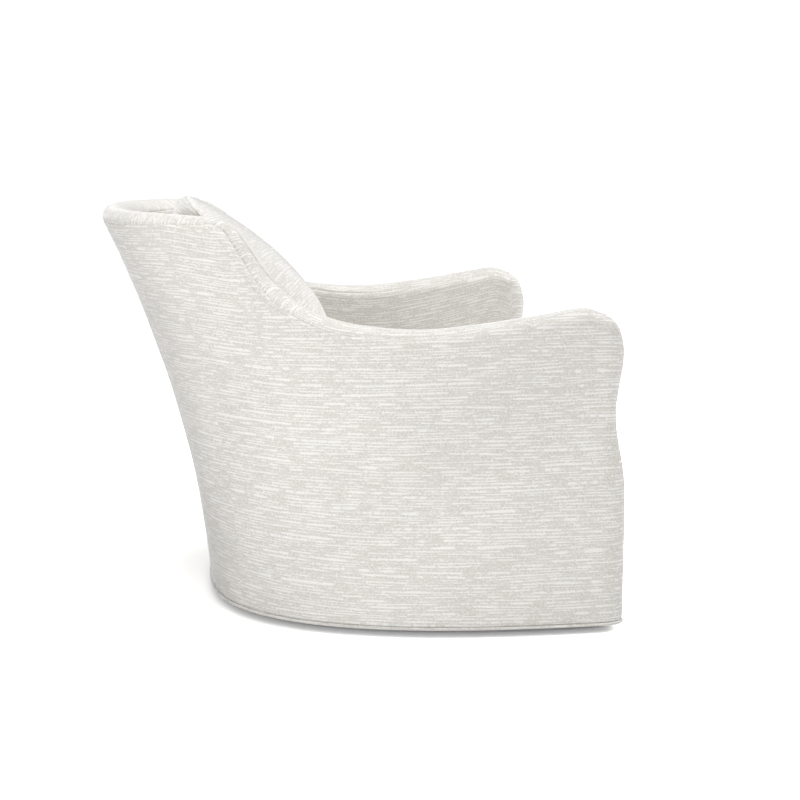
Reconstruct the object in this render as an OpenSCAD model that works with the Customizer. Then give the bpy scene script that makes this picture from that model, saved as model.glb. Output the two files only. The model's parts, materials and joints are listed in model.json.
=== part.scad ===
// Swivel tub chair: a flared upholstered shell on a hidden ball-bearing swivel base,
// with a loose seat cushion and a loose back pillow.
// The chair faces -Y, +Z is up, and the origin is on the floor under the middle of the chair.

/* [Shell] */
// Overall width across the arms
body_w = 840; // [800:1:880]
// Line where the rounded fronts of the arms begin
nose_root_y = -411; // [-416:1:-406]
// How far back the shell reaches at its bottom edge
foot_rear_y = 268; // [250:1:290]
// How far back the shell reaches at the rim
rim_rear_y = 462; // [440:0.5:475]
// Squareness of the plan at the bottom edge, 2 is an ellipse
foot_square = 2.67; // [2.4:0.01:3]
// Squareness of the plan at the rim
rim_square = 3.12; // [2.9:0.01:3.4]
// Height of the bottom edge above the floor
skirt_z = 12; // [8:1:14]
// Height of the rim across the back
rim_z = 748; // [725:1:765]
// Height of the arms at their front knuckle
arm_front_z = 584; // [565:1:600]
// Height of the arms at their lowest place
arm_low_z = 549; // [535:1:560]
// Where the arms are highest
arm_peak_y = -372; // [-380:1:-362]
// Where the arms are lowest
arm_low_y = -85; // [-110:1:-60]
// Where the wings start to rise from the arms
wing_foot_y = 80; // [60:1:100]
// Where the wings reach the rim
wing_top_y = 262; // [250:1:280]
// Thickness of the upholstered arms
arm_w = 62; // [56:1:70]
// Thickness of the upholstered back at the rim
back_w = 66; // [60:1:74]
// How much thicker the back gets for each millimetre down
back_taper = 0.12; // [0.08:0.01:0.14]
// Height of the rounded top edge
edge_rise = 26; // [20:1:30]

/* [Arm front] */
// How far forward the arm fronts reach at the floor
front_foot_y = -458; // [-464:1:-452]
// How far forward the waist of the arm fronts reaches
front_waist_y = -437; // [-442:1:-434]
// How far forward the knuckle of the arm fronts reaches
front_knuckle_y = -450; // [-456:1:-446]
// Height of the waist
waist_z = 402; // [380:1:420]
// Height of the knuckle
knuckle_z = 503; // [490:1:512]

/* [Upholstery] */
// Thickness of the cover fabric with its lining
cover_t = 2; // [1.5:0.1:3]
// Air left between soft layers
soft_gap = 0.3; // [0.2:0.05:0.5]
// Padding outside the frame
outer_pad_t = 10; // [8:0.5:12]
// Padding inside the frame
inner_pad_t = 22; // [18:1:24]
// Angle on the rounded edge where the border band starts at the back
band_angle = 27; // [18:1:35]
// Radius of the welt cord round the bottom edge
welt_r = 3; // [2.5:0.1:3.5]
// Where the padded front border between the arms stands
border_y = -434; // [-438:1:-428]

/* [Frame] */
// Height of the bottom ring
ring_h = 40; // [34:1:44]
// Depth of the bottom ring, measured inwards
ring_t = 32; // [28:1:40]
// Thickness of the bent plywood arm panels
panel_t = 12; // [9:0.5:12]
// Width of the front posts
post_w = 24; // [20:1:24]
// Depth of the front posts
post_d = 46; // [38:1:48]
// Thickness of the curved back posts, across the chair
back_post_w = 25; // [20:1:30]
// Depth of the curved back posts, front to back
back_post_d = 34; // [28:1:36]
// Distance of the outer back posts from the middle
back_post_x = 230; // [215:1:240]
// Thickness of the seat rails
rail_t = 22; // [18:1:24]
// Height of the seat rails
rail_h = 58; // [50:1:64]
// Height of the top of the seat rails
rail_z = 296; // [286:1:304]
// Height of the top rail of the back
top_rail_h = 42; // [34:1:48]
// Width of the webbing straps on the back
strap_w = 50; // [40:1:52]
// Thickness of the webbing straps
strap_t = 2; // [1.5:0.1:3]
// Wire size of the seat springs
wire = 3.4; // [3:0.1:4]
// Number of seat springs
spring_count = 5; // [3:1:5]
// Distance between the seat springs
spring_pitch = 105; // [90:1:110]
// Thickness of the pad that lies on the springs
deck_pad_t = 12; // [8:1:14]

/* [Seat cushion] */
// Height of the cushion at its seams
cushion_h = 132; // [120:1:140]
// Rise of the crown above the seams
cushion_crown = 14; // [8:1:18]
// How far forward the cushion reaches
cushion_front_y = -440; // [-448:1:-430]
// Where the back of the cushion is cut straight
cushion_rear_y = 150; // [130:1:165]
// How far the sides draw in between the seams
cushion_tuck = 7; // [3:1:10]
// Room between the cushion and the arms
cushion_gap = 1.5; // [1:0.1:4]
// Width of the zip tape
zip_w = 24; // [18:1:30]
// Length of the zip
zip_l = 320; // [260:5:330]

/* [Back pillow] */
// Height of the pillow's top edge above the floor
pillow_top_z = 763; // [750:1:770]
// Where the front of the pillow stands at the height of the seat cushion
pillow_foot_y = -11; // [-25:1:0]
// How far the front of the pillow leans back for each millimetre up, at its foot
pillow_lean = 0.54; // [0.48:0.01:0.6]
// How much more the front leans back with each millimetre up
pillow_bend = 0.0008; // [0:0.0002:0.0012]
// Where the pillow's seam stands at its top
pillow_seam_y = 300; // [285:1:310]
// Where the pillow's seam stands at its foot
pillow_seam_foot_y = 60; // [45:1:80]
// How far the pillow's seam stays from the inside back and the wings
pillow_gap = 1.2; // [1.2:0.4:6]
// How far the pillow's back face stays from the inside back that it leans on
pillow_touch = 0.4; // [0.4:0.2:0.8]
// How far the pillow's top rolls forward off the chair's back
pillow_roll = 70; // [40:1:75]

/* [Swivel] */
// Place of the swivel axis, front to back
axis_y = -86; // [-100:1:-70]
// Radius of the round base board
base_r = 250; // [220:1:260]
// Thickness of the base board and of its blocks
base_t = 18; // [15:0.5:18]
// Radius of the blocks under the base board
block_r = 28; // [22:1:32]
// Radius of the circle that the blocks stand on
block_ring_r = 218; // [185:1:220]
// Number of blocks and glides
glide_count = 6; // [4:1:8]
// Radius of the glides
glide_r = 14; // [10:1:18]
// Height of the glides
glide_h = 5; // [4:0.5:6]
// Side of the square swivel plates
plate_w = 200; // [190:1:220]
// Thickness of the swivel plates
plate_t = 2.5; // [2:0.1:3]
// Radius of the ball track
track_r = 58; // [50:1:62]
// Diameter of the bearing balls
ball_d = 8; // [7:0.5:9]
// Number of bearing balls
ball_count = 14; // [8:1:18]
// Running gap round each ball
ball_gap = 0.05; // [0.02:0.01:0.08]
// Diameter of the pivot bolt
pivot_d = 12; // [10:1:14]
// Running gap round the pivot bolt
pivot_gap = 0.1; // [0.05:0.01:0.1]
// Diameter of the plate screws
screw_d = 6; // [5:0.5:7]

/* [Hidden] */

linen = "#dedbd3";
foam = "#e9d9a6";
wadding = "#f1efe8";
birch = "#cfa870";
beech = "#b98a58";
steel = "#8d9296";
nylon = "#3b3b3d";
black_cloth = "#2b2b2d";
$fn = 48;

// Heights that the pieces share
ring_z = skirt_z + 2;
ring_top = ring_z + ring_h;
cover_z = skirt_z + 2 * welt_r + 0.2;
clip_t = 1.2;
deck_z = rail_z + wire + clip_t + 2 * soft_gap + deck_pad_t + cover_t;
pad_foot_z = rail_z + wire;

// The swivel is stacked down from the top of the bottom ring
upper_plate_z = ring_top - plate_t;
lower_plate_z = upper_plate_z - ball_d - 2 * ball_gap - plate_t;
base_z = lower_plate_z - base_t;
block_z = glide_h;

// Rim line as [y, z]: front knuckle, dip of the arm, rise of the wing, level rim
wing_foot_z = arm_low_z + 23;
wing_shape = [[0, 0], [0.25, 0.115], [0.55, 0.385], [0.76, 0.715], [0.87, 0.877], [1, 0.95]];
rim_line = [
    [nose_root_y - 12, arm_front_z - 17],
    [nose_root_y, arm_front_z - 10.5],
    [nose_root_y + 19, arm_front_z - 3],
    [arm_peak_y, arm_front_z],
    [arm_peak_y + 80, arm_front_z - 12],
    [arm_low_y - 115, arm_low_z + 10],
    [arm_low_y, arm_low_z],
    [(arm_low_y + 2 * wing_foot_y) / 3, arm_low_z + 9],
    for (s = wing_shape) [
        wing_foot_y + s[0] * (wing_top_y - wing_foot_y),
        wing_foot_z + s[1] * (rim_z - wing_foot_z)],
    [wing_top_y + 60, rim_z - 3],
    [rim_rear_y - 20, rim_z]];

// Front line of the arms as [z, y]: straight foot, waist, knuckle, round top
front_line = [
    [skirt_z, front_foot_y],
    [waist_z - 181, front_foot_y],
    [waist_z - 126, mix(front_foot_y, front_waist_y, 0.1)],
    [waist_z - 82, mix(front_foot_y, front_waist_y, 0.45)],
    [waist_z - 42, mix(front_foot_y, front_waist_y, 0.84)],
    [waist_z, front_waist_y],
    [waist_z + 38, mix(front_waist_y, front_knuckle_y, 0.36)],
    [waist_z + 68, mix(front_waist_y, front_knuckle_y, 0.75)],
    [knuckle_z, front_knuckle_y],
    [arm_front_z - 58, front_knuckle_y + 3],
    [arm_front_z - 36, front_knuckle_y + 10],
    [arm_front_z - 26, front_knuckle_y + 17],
    [arm_front_z - 16, front_knuckle_y + 27.5],
    [arm_front_z - 10, nose_root_y - 2]];

// Stations along the wall: 0 to 90 go from the arm's front to the middle of the back,
// and the negative ones are shares of the rounded arm front
nose_stations = [-1, -0.96, -0.85, -0.66, -0.42, -0.18];
arm_stations = [0, 1, 2.4, 5, 9, 14, 20, 26, 30.5, 33.5, 35.5, 37, 38.3, 40, 42.5, 46, 51, 57];
back_stations = [57, 63, 70, 78, 85, 90, 95, 102, 110, 117, 123];
seam_station = 57;
seam_start = 44;
seam_foot = 65;
seam_top = 55.6;
all_stations = concat(arm_stations, [63, 70, 78, 85, 90, 95, 102, 110, 117],
    [for (k = [len(arm_stations) - 1 : -1 : 0]) 180 - arm_stations[k]]);
outer_levels = [0, 0.17, 0.35, 0.52, 0.68, 0.84, 1];
inner_levels = [0, 0.3, 0.65, 1];

// Smooth curve through [x, y] points
function slope(tab, k) =
    let (a = tab[max(k - 1, 0)], b = tab[min(k + 1, len(tab) - 1)])
    (b[1] - a[1]) / (b[0] - a[0]);
function segment(tab, x) =
    max([0, for (i = [0 : len(tab) - 2]) if (tab[i][0] <= x) i]);
function curve(tab, x) =
    let (q = min(max(x, tab[0][0]), tab[len(tab) - 1][0]),
        k = segment(tab, q), a = tab[k], b = tab[k + 1],
        run = b[0] - a[0], s = (q - a[0]) / run)
    a[1] * (1 + 2 * s) * pow(1 - s, 2) + b[1] * s * s * (3 - 2 * s)
        + run * s * (1 - s) * (slope(tab, k) * (1 - s) - slope(tab, k + 1) * s);

function mix(a, b, s) = a + (b - a) * s;
function ramp(x, a, b) = let (s = min(max((x - a) / (b - a), 0), 1)) s * s * (3 - 2 * s);
function half_station(t) = min(t, 180 - t);

// How far the flare has opened at height z, 0 at the bottom edge and 1 at the rim
function flare(z) = let (u = max(z - skirt_z, 0) / (rim_z - skirt_z - 13)) 0.27 * u + 0.73 * u * u;
function reach(z) = mix(foot_rear_y, rim_rear_y, flare(z)) - nose_root_y;
function square_at(z) = mix(foot_square, rim_square, flare(z));
function signed_pow(v, e) = sign(v) * pow(abs(v), e);

// The seam between the outside arm and outside back leans, so stations near it move with height
function seam_at(z) = mix(seam_foot, seam_top, (z - skirt_z) / (rim_z - skirt_z));
function lean_half(s, z) =
    s <= seam_start ? s :
    s <= seam_station ? mix(seam_start, seam_at(z), (s - seam_start) / (seam_station - seam_start)) :
    mix(seam_at(z), 90, (s - seam_station) / (90 - seam_station));
function lean(t, z) = t <= 90 ? lean_half(t, z) : 180 - lean_half(180 - t, z);

// A point of the plan at height z, moved in from the outer face by inset
function plan(t, z, inset) =
    let (q = lean(t, z), e = 2 / square_at(z))
    [(body_w / 2 - inset) * signed_pow(cos(q), e), nose_root_y + (reach(z) - inset) * pow(sin(q), e)];
function plan_y(x, z, inset) =
    let (n = square_at(z), s = min(abs(x) / (body_w / 2 - inset), 0.999))
    nose_root_y + (reach(z) - inset) * pow(1 - pow(s, n), 1 / n);

// Height of the rim at a station, found where the flared wall meets the rim line
function rim_at(t, z = 620, k = 9) =
    k == 0 ? z : rim_at(t, curve(rim_line, plan(t, z, arm_w / 2)[1]), k - 1);
function wall_w(t, z) =
    mix(arm_w, back_w + back_taper * (rim_z - 13 - z), ramp(half_station(t), 34, 60));
function nose_w(f) = pow(1 - pow(f, 2.4), 1 / 2.4);

// A point of the upholstered wall, d inside its surface. p is [side, share]:
// side 0 climbs the outer face, side 1 turns over the edge by an angle, side 2 goes down inside.
function wall(st, p, d, foot, inner_foot) =
    let (t = max(st, 0), f = max(-st, 0), zc = rim_at(t) - edge_rise,
        z = p[0] == 0 ? mix(foot, zc, p[1]) :
            p[0] == 1 ? zc + (edge_rise - d) * sin(p[1]) : mix(zc, inner_foot, p[1]),
        half = wall_w(t, p[0] == 1 ? zc : z) / 2,
        turn = p[0] == 0 ? 1 : p[0] == 1 ? cos(p[1]) : -1,
        inset = half - (half - d) * turn * nose_w(f),
        q = plan(t, z, inset))
    st >= 0 ? [q[0], q[1], z] :
    [body_w / 2 - inset, mix(nose_root_y, curve(front_line, z) + d, f), z];

// A point of the hollow in the padding, where the frame stands
function hollow(st, p, foot, inner_foot) =
    let (zc = rim_at(st) - edge_rise - outer_pad_t + cover_t,
        z = p[0] == 0 ? mix(foot, zc, p[1]) :
            p[0] == 1 ? zc + 6 * sin(p[1]) : mix(zc, inner_foot, p[1]),
        w = wall_w(st, p[0] == 1 ? zc : z),
        inner = w - inner_pad_t - cover_t,
        outer = outer_pad_t + cover_t,
        turn = p[0] == 0 ? 1 : p[0] == 1 ? cos(p[1]) : -1,
        q = plan(st, z, (outer + inner) / 2 - turn * (inner - outer) / 2))
    [q[0], q[1], z];

// Where the band starts over the rounded edge as [station, angle]: near the crest at the arm's
// front, level with the band's angle along the arm, low on the wing and low at the back
band_line = [[0, 60], [3, 48], [9, band_angle + 7], [20, band_angle], [30, band_angle], [33.5, 36], [37, 41],
    [38.6, 50], [40.3, 60], [42.3, 64], [44.3, 53], [46, 38], [51, 28], [57, 22], [63, 14], [70, 9], [90, 7]];
function band_start(st) =
    st < -0.2 ? 89.5 : st < 0 ? mix(60, 87, -st / 0.18) : curve(band_line, half_station(st));
cover_edge = [1 / 3, 2 / 3, 1];
band_edge = [0.25, 0.5, 0.75];

// Rows of the wall from the outer foot over the edge to the inner foot
function wall_rows(st) = let (b = band_start(st)) concat(
    [for (s = outer_levels) [0, s]],
    [for (s = cover_edge) [1, b * s]],
    [for (s = band_edge) [1, mix(b, 180 - b, s)]],
    [for (k = [2 : -1 : 0]) [1, 180 - b * cover_edge[k]]],
    [for (s = inner_levels) [2, s]]);

// A closed solid between two grids of points. Before column start and from column turn on,
// the faces are split the other way, so that layers match and pieces are symmetric.
module sheet(outer, inner, turn = 1000, start = 0) {
    nu = len(outer);
    nv = len(outer[0]);
    n = nu * nv;
    p = outer[1][1];
    facing = cross(outer[2][1] - p, outer[1][2] - p) * (p - inner[1][1]);
    quads = [
        for (i = [0 : nu - 2]) for (j = [0 : nv - 2])
            let (a = i * nv + j, b = a + nv) each (i >= start && i < turn
                ? [[a, b, b + 1, a + 1], [n + a, n + a + 1, n + b + 1, n + b]]
                : [[b, b + 1, a + 1, a], [n + a + 1, n + b + 1, n + b, n + a]]),
        for (i = [0 : nu - 2])
            let (a = i * nv, b = a + nv, e = nv - 1)
            each [[b, a, a + n, b + n], [a + e, b + e, b + e + n, a + e + n]],
        for (j = [0 : nv - 2])
            let (a = j, c = (nu - 1) * nv + j) each [[a, a + 1, a + 1 + n, a + n], [c + 1, c, c + n, c + 1 + n]]];
    faces = [for (q = quads) each [[q[0], q[1], q[2]], [q[0], q[2], q[3]]]];
    polyhedron([for (r = outer) each r, for (r = inner) each r],
        facing > 0 ? [for (f = faces) [f[2], f[1], f[0]]] : faces);
}

// A closed solid through rings of points that run anticlockwise, from the lowest ring up
module loft(rings, low, high) {
    n = len(rings[0]);
    m = len(rings);
    polyhedron([for (r = rings) each r, low, high],
        [for (i = [0 : m - 2]) for (j = [0 : n - 1])
            let (a = i * n + j, b = i * n + (j + 1) % n) each [[a, b + n, b], [a, a + n, b + n]],
        for (j = [0 : n - 1]) let (k = (j + 1) % n)
            each [[m * n, j, k], [m * n + 1, (m - 1) * n + k, (m - 1) * n + j]]]);
}

module left() { mirror([1, 0, 0]) children(); }
module at_axis() { translate([0, axis_y, 0]) children(); }

// Swivel base

module round_places(count, radius) {
    for (k = [0 : count - 1]) rotate([0, 0, 360 * (k + 0.5) / count]) translate([radius, 0, 0]) children();
}

module floor_glides() {
    color(nylon) at_axis() round_places(glide_count, block_ring_r) cylinder(h = glide_h, r = glide_r);
}

module base_blocks() {
    color(birch) at_axis() round_places(glide_count, block_ring_r)
        translate([0, 0, block_z]) cylinder(h = base_z - block_z, r = block_r);
}

module plate_corners(x, y) {
    for (sx = [-1, 1]) for (sy = [-1, 1]) translate([sx * x, sy * y, 0]) children();
}

bolt_x = plate_w / 2 - 15;
head_h = screw_d / 2;
head_r = screw_d;

module base_board() {
    color(birch) at_axis() difference() {
        translate([0, 0, base_z]) cylinder(h = base_t, r = base_r, $fn = 96);
        translate([0, 0, base_z - 1]) cylinder(h = base_t + 2, d = pivot_d);
        plate_corners(bolt_x, bolt_x) translate([0, 0, base_z - 1]) cylinder(h = base_t + 2, d = screw_d);
    }
}

// The two plates carry low ridges on both sides of the ball track
ridge_t = 2;
ridge_h = (ball_d + 2 * ball_gap) * 0.36;
module track_ridges(z) {
    for (r = [track_r - ball_d / 2 - ridge_t - 0.5, track_r + ball_d / 2 + 0.5])
        translate([0, 0, z]) difference() {
            cylinder(h = ridge_h, r = r + ridge_t);
            translate([0, 0, -1]) cylinder(h = ridge_h + 2, r = r);
        }
}

module swivel_lower_plate() {
    color(steel) at_axis() difference() {
        union() {
            translate([-plate_w / 2, -plate_w / 2, lower_plate_z]) cube([plate_w, plate_w, plate_t]);
            track_ridges(lower_plate_z + plate_t);
        }
        translate([0, 0, lower_plate_z - 1]) cylinder(h = plate_t + 2, d = pivot_d);
        plate_corners(bolt_x, bolt_x)
            translate([0, 0, lower_plate_z - 1]) cylinder(h = plate_t + 2, d = screw_d);
    }
}

module lower_plate_bolts() {
    color(steel) at_axis() plate_corners(bolt_x, bolt_x) {
        translate([0, 0, base_z - head_h]) cylinder(h = head_h, r = head_r);
        translate([0, 0, base_z]) cylinder(h = base_t + plate_t, d = screw_d);
        translate([0, 0, lower_plate_z + plate_t]) cylinder(h = head_h, r = head_r, $fn = 6);
    }
}

// The pivot bolt comes up through the base board and holds the upper plate down
washer_t = 2;
nut_h = pivot_d * 0.6;
module pivot_bolt() {
    color(steel) at_axis() {
        translate([0, 0, base_z - nut_h]) cylinder(h = nut_h, r = pivot_d * 0.9, $fn = 6);
        translate([0, 0, base_z]) cylinder(h = ring_top + washer_t + nut_h + 4 - base_z, d = pivot_d);
    }
}

module pivot_washer() {
    color(steel) at_axis() translate([0, 0, ring_top + ball_gap]) difference() {
        cylinder(h = washer_t, r = pivot_d * 1.2);
        translate([0, 0, -1]) cylinder(h = washer_t + 2, d = pivot_d);
    }
}

module pivot_nut() {
    color(steel) at_axis() translate([0, 0, ring_top + ball_gap + washer_t]) difference() {
        cylinder(h = nut_h, r = pivot_d * 0.9, $fn = 6);
        translate([0, 0, -1]) cylinder(h = nut_h + 2, d = pivot_d);
    }
}

track_mid = lower_plate_z + plate_t + ball_gap + ball_d / 2;
cage_t = 1.2;
module ball_cage() {
    cage_w = ball_d + 8;
    color(steel) at_axis() translate([0, 0, track_mid - cage_t / 2]) difference() {
        cylinder(h = cage_t, r = track_r + cage_w / 2, $fn = 96);
        translate([0, 0, -1]) cylinder(h = cage_t + 2, r = track_r - cage_w / 2, $fn = 96);
        for (k = [0 : ball_count - 1]) rotate([0, 0, 360 * k / ball_count])
            translate([track_r, 0, -1]) cylinder(h = cage_t + 2, r = ball_d / 2 + 2 * ball_gap);
    }
}

module bearing_balls() {
    color(steel) at_axis() for (k = [0 : ball_count - 1]) rotate([0, 0, 360 * k / ball_count])
        translate([track_r, 0, track_mid]) sphere(d = ball_d, $fn = 24);
}

screw_x = plate_w / 2 - 15;
screw_y = plate_w / 4;
screw_l = 20;
module swivel_upper_plate() {
    color(steel) at_axis() difference() {
        union() {
            translate([-plate_w / 2, -plate_w / 2, upper_plate_z]) cube([plate_w, plate_w, plate_t]);
            track_ridges(upper_plate_z - ridge_h);
        }
        translate([0, 0, upper_plate_z - 1]) cylinder(h = plate_t + 2, d = pivot_d + 2 * pivot_gap);
        plate_corners(screw_x, screw_y)
            translate([0, 0, upper_plate_z - 1]) cylinder(h = plate_t + 2, d = screw_d);
    }
}

module upper_plate_screws() {
    color(steel) at_axis() plate_corners(screw_x, screw_y) {
        translate([0, 0, upper_plate_z - head_h * 0.8]) cylinder(h = head_h * 0.8, r = head_r * 0.8);
        translate([0, 0, upper_plate_z]) cylinder(h = plate_t + screw_l, d = screw_d);
    }
}

// Timber frame

front_rail_y = nose_root_y + 5;
mount_rail_w = 70;
mount_rail_h = 25;
module swivel_mount_rails() {
    rear = plan_y(screw_x + mount_rail_w / 2, ring_top, outer_pad_t + cover_t + 4);
    color(beech) difference() {
        for (s = [-1, 1])
            translate([s * screw_x - mount_rail_w / 2, front_rail_y, ring_top])
                cube([mount_rail_w, rear - front_rail_y, mount_rail_h]);
        at_axis() plate_corners(screw_x, screw_y)
            translate([0, 0, ring_top - 1]) cylinder(h = screw_l + 1, d = screw_d);
    }
}

ring_out = outer_pad_t + cover_t;
module bottom_ring() {
    color(birch) translate([0, 0, ring_z]) linear_extrude(ring_h)
        polygon([for (t = all_stations) plan(t, skirt_z, ring_out + soft_gap),
            for (k = [len(all_stations) - 1 : -1 : 0]) plan(all_stations[k], skirt_z, ring_out + ring_t)]);
}

ring_inner_x = body_w / 2 - ring_out - ring_t - 2 * soft_gap;
module front_bottom_rail() {
    color(beech) translate([-ring_inner_x, front_rail_y, ring_z]) cube([2 * ring_inner_x, rail_t, ring_h]);
}

front_post_x = body_w / 2 - ring_out - 1 - post_w;
module front_post_right() {
    color(beech) translate([front_post_x, nose_root_y + 2, ring_top])
        cube([post_w, post_d, rim_at(0) - edge_rise - outer_pad_t - ring_top]);
}
module front_post_left() { left() front_post_right(); }

// A curved board that follows the shell, from inset a to inset b and from height low to height high
function board(stations, levels, inset) =
    [for (t = stations) [for (z = levels) let (q = plan(t, z, inset)) [q[0], q[1], z]]];

panel_out = ring_out + 1;
panel_stations = [2.4, 5, 9, 14, 20, 26, 30.5, 33.5, 35.5, 37, 38.3, 40, 42.5];
function panel_levels(t) = let (top = rim_at(t) - edge_rise - outer_pad_t) concat(
    [ring_top], [for (k = [1 : 5]) mix(cover_z, top + cover_t, outer_levels[k])], [top - 2]);
function panel_grid(inset) = [for (t = panel_stations)
    [for (z = panel_levels(t)) let (q = plan(t, z, inset)) [q[0], q[1], z]]];
module arm_panel_right() { color(birch) sheet(panel_grid(panel_out), panel_grid(panel_out + panel_t)); }
module arm_panel_left() { left() arm_panel_right(); }

rail_out = panel_out + panel_t + soft_gap;
rail_levels = [rail_z - rail_h, rail_z - rail_h / 2, rail_z];
module seat_side_rail_right() {
    color(beech) sheet(board([2.4, 9, 20, 30.5, 42.5, 50], rail_levels, rail_out),
        board([2.4, 9, 20, 30.5, 42.5, 50], rail_levels, rail_out + rail_t));
}
module seat_side_rail_left() { left() seat_side_rail_right(); }

module seat_front_rail() {
    color(beech) translate([-front_post_x, front_rail_y, rail_z - rail_h])
        cube([2 * front_post_x, rail_t, rail_h]);
}

// Back posts are sawn to the curve of the shell
post_levels = [for (k = [0 : 8]) k / 8];
post_out = ring_out + 2;
post_in = post_out + back_post_d;
top_rail_z = rim_z - edge_rise - outer_pad_t - 12 - top_rail_h;
module back_post(x) {
    levels = [for (s = post_levels) mix(ring_top, top_rail_z, s)];
    outer_x = abs(x) + back_post_w / 2;
    inner_x = max(abs(x) - back_post_w / 2, 0);
    translate([x - back_post_w / 2, 0, 0]) rotate([90, 0, 90]) linear_extrude(back_post_w)
        polygon([for (z = levels) [plan_y(outer_x, z, post_out), z],
            for (k = [8 : -1 : 0]) [plan_y(inner_x, levels[k], post_in - 0.2), levels[k]]]);
}
module back_posts() {
    color(beech) for (k = [-1, -0.63, 0, 0.63, 1]) back_post(k * back_post_x);
}

rail_stations = [for (t = [44 : 4 : 136]) t];
top_rail_levels = [top_rail_z, top_rail_z + top_rail_h / 2, top_rail_z + top_rail_h];
module back_top_rail() {
    color(beech) sheet(board(rail_stations, top_rail_levels, post_out + 1),
        board(rail_stations, top_rail_levels, post_out + rail_t));
}

// Rails in front of the back posts follow the posts' front faces
function cross_rail(z, h, inset) = board([for (t = [52 : 4 : 128]) t], [z, z + h / 2, z + h], inset);
module seat_rear_rail() {
    color(beech) sheet(cross_rail(rail_z - rail_h, rail_h, post_in),
        cross_rail(rail_z - rail_h, rail_h, post_in + rail_t));
}

lumbar_z = 440;
lumbar_h = 40;
lumbar_t = 12;
module back_lumbar_rail() {
    color(birch) sheet(cross_rail(lumbar_z, lumbar_h, post_in),
        cross_rail(lumbar_z, lumbar_h, post_in + lumbar_t));
}

// Webbing straps run between the posts, from the front of the lumbar rail to the front of the top rail
strap_shares = [-0.815, -0.443, -0.195, 0.195, 0.443, 0.815];
strap_levels = [[lumbar_z + 4, post_in + lumbar_t], [lumbar_z + lumbar_h, post_in + lumbar_t],
    [top_rail_z, post_out + rail_t], [top_rail_z + top_rail_h * 0.7, post_out + rail_t]];
function strap(x, inset) = [for (side = [-1, 0, 1]) let (q = x + side * strap_w / 2)
    [for (l = strap_levels) [q, plan_y(q, l[0], l[1] + inset), l[0]]]];
module back_webbing() {
    color(black_cloth) for (k = strap_shares) let (x = k * back_post_x)
        sheet(strap(x, 3 * soft_gap), strap(x, 3 * soft_gap + strap_t));
}

// A seat spring is a zigzag wire from the front rail to the rear rail
spring_w = 44;
spring_bends = 28;
spring_places = [for (k = [0 : spring_count - 1]) (k - (spring_count - 1) / 2) * spring_pitch];
spring_front_y = front_rail_y + rail_t / 2;
function spring_rear_y(x) = plan_y(abs(x - spring_w / 2), rail_z, post_in + rail_t / 2);
module seat_spring(x) {
    bends = [for (k = [0 : spring_bends])
        [x + spring_w / 2 * (k % 2 == 0 ? -1 : 1), mix(spring_front_y, spring_rear_y(x), k / spring_bends)]];
    half = [wire * 1.2, 0];
    translate([0, 0, rail_z]) linear_extrude(wire)
        polygon([for (p = bends) p + half, for (k = [spring_bends : -1 : 0]) bends[k] - half]);
}
module seat_springs() { color(steel) for (x = spring_places) seat_spring(x); }

// Each clip is a plate over the end of the wire with a foot beside it
module spring_clip() {
    translate([-12, -6, wire]) cube([18, 12, clip_t]);
    translate([-12, -6, 0]) cube([6, 12, wire]);
}
module spring_clips() {
    color(steel) for (x = spring_places) for (y = [spring_front_y, spring_rear_y(x)])
        translate([x - spring_w / 2, y, rail_z]) spring_clip();
}

// Soft layers of the shell

deck_out = soft_gap + 0.4;
deck_front_y = border_y + cover_t;
module deck_outline() {
    polygon([for (t = all_stations) plan(t, rail_z, wall_w(t, rail_z) + deck_out),
        [deck_out + arm_w - body_w / 2, deck_front_y], [body_w / 2 - arm_w - deck_out, deck_front_y]]);
}

module deck_pad() {
    color(wadding) translate([0, 0, deck_z - cover_t - soft_gap - deck_pad_t])
        linear_extrude(deck_pad_t) deck_outline();
}

module deck_cloth() {
    color(black_cloth) translate([0, 0, deck_z - cover_t]) linear_extrude(cover_t) deck_outline();
}

pad_in = cover_t + soft_gap;
function pad_outer(stations) =
    [for (s = stations) [for (p = wall_rows(s)) wall(s, p, pad_in, cover_z, pad_foot_z)]];
function pad_inner(stations) =
    [for (s = stations) [for (p = wall_rows(s)) hollow(s, p, cover_z, pad_foot_z)]];

pad_stations = [for (t = arm_stations) min(t, seam_station - 0.05)];
back_turn = 5;
module arm_padding_right() { color(foam) sheet(pad_outer(pad_stations), pad_inner(pad_stations)); }
module arm_padding_left() { left() arm_padding_right(); }
module back_padding() {
    color(foam) sheet(pad_outer(back_stations), pad_inner(back_stations), back_turn);
}

// Rows from the foot up to the crest or the band; inward rows lie on the inside of the arm front
function side_rows(st, d, gap, inward = false) = let (b = band_start(st)) concat(
    [for (s = outer_levels) wall(st, inward ? [2, 1 - s] : [0, s], d, cover_z, cover_z)],
    [for (s = cover_edge) let (a = b * s - (s == 1 ? gap : 0))
        wall(st, [1, inward ? 180 - a : a], d, cover_z, cover_z)]);

// The arm front is a solid block of foam between its outer half and its inner half
nose_pad_stations = [-0.96, -0.85, -0.66, -0.42, -0.18, -0.01];
function nose_half(inward) = [for (s = nose_pad_stations) side_rows(s, pad_in, 0, inward)];
module arm_front_padding_right() { color(foam) sheet(nose_half(false), nose_half(true)); }
module arm_front_padding_left() { left() arm_front_padding_right(); }

// The outside arm cover wraps round the arm front, and ends at the band on the rounded edge
band_gap = 0.25;
wrap_stations = [-0.01, -0.18, -0.42, -0.66, -0.85, -0.96];
function arm_cover_rows(d) = concat(
    [for (s = wrap_stations) side_rows(s, d, band_gap, true)],
    [for (s = nose_stations) side_rows(s, d, band_gap)],
    [for (s = arm_stations) side_rows(s, d, band_gap)]);
module outside_arm_cover_right() {
    color(linen) sheet(arm_cover_rows(0), arm_cover_rows(cover_t), start = len(wrap_stations));
}
module outside_arm_cover_left() { left() outside_arm_cover_right(); }

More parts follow.
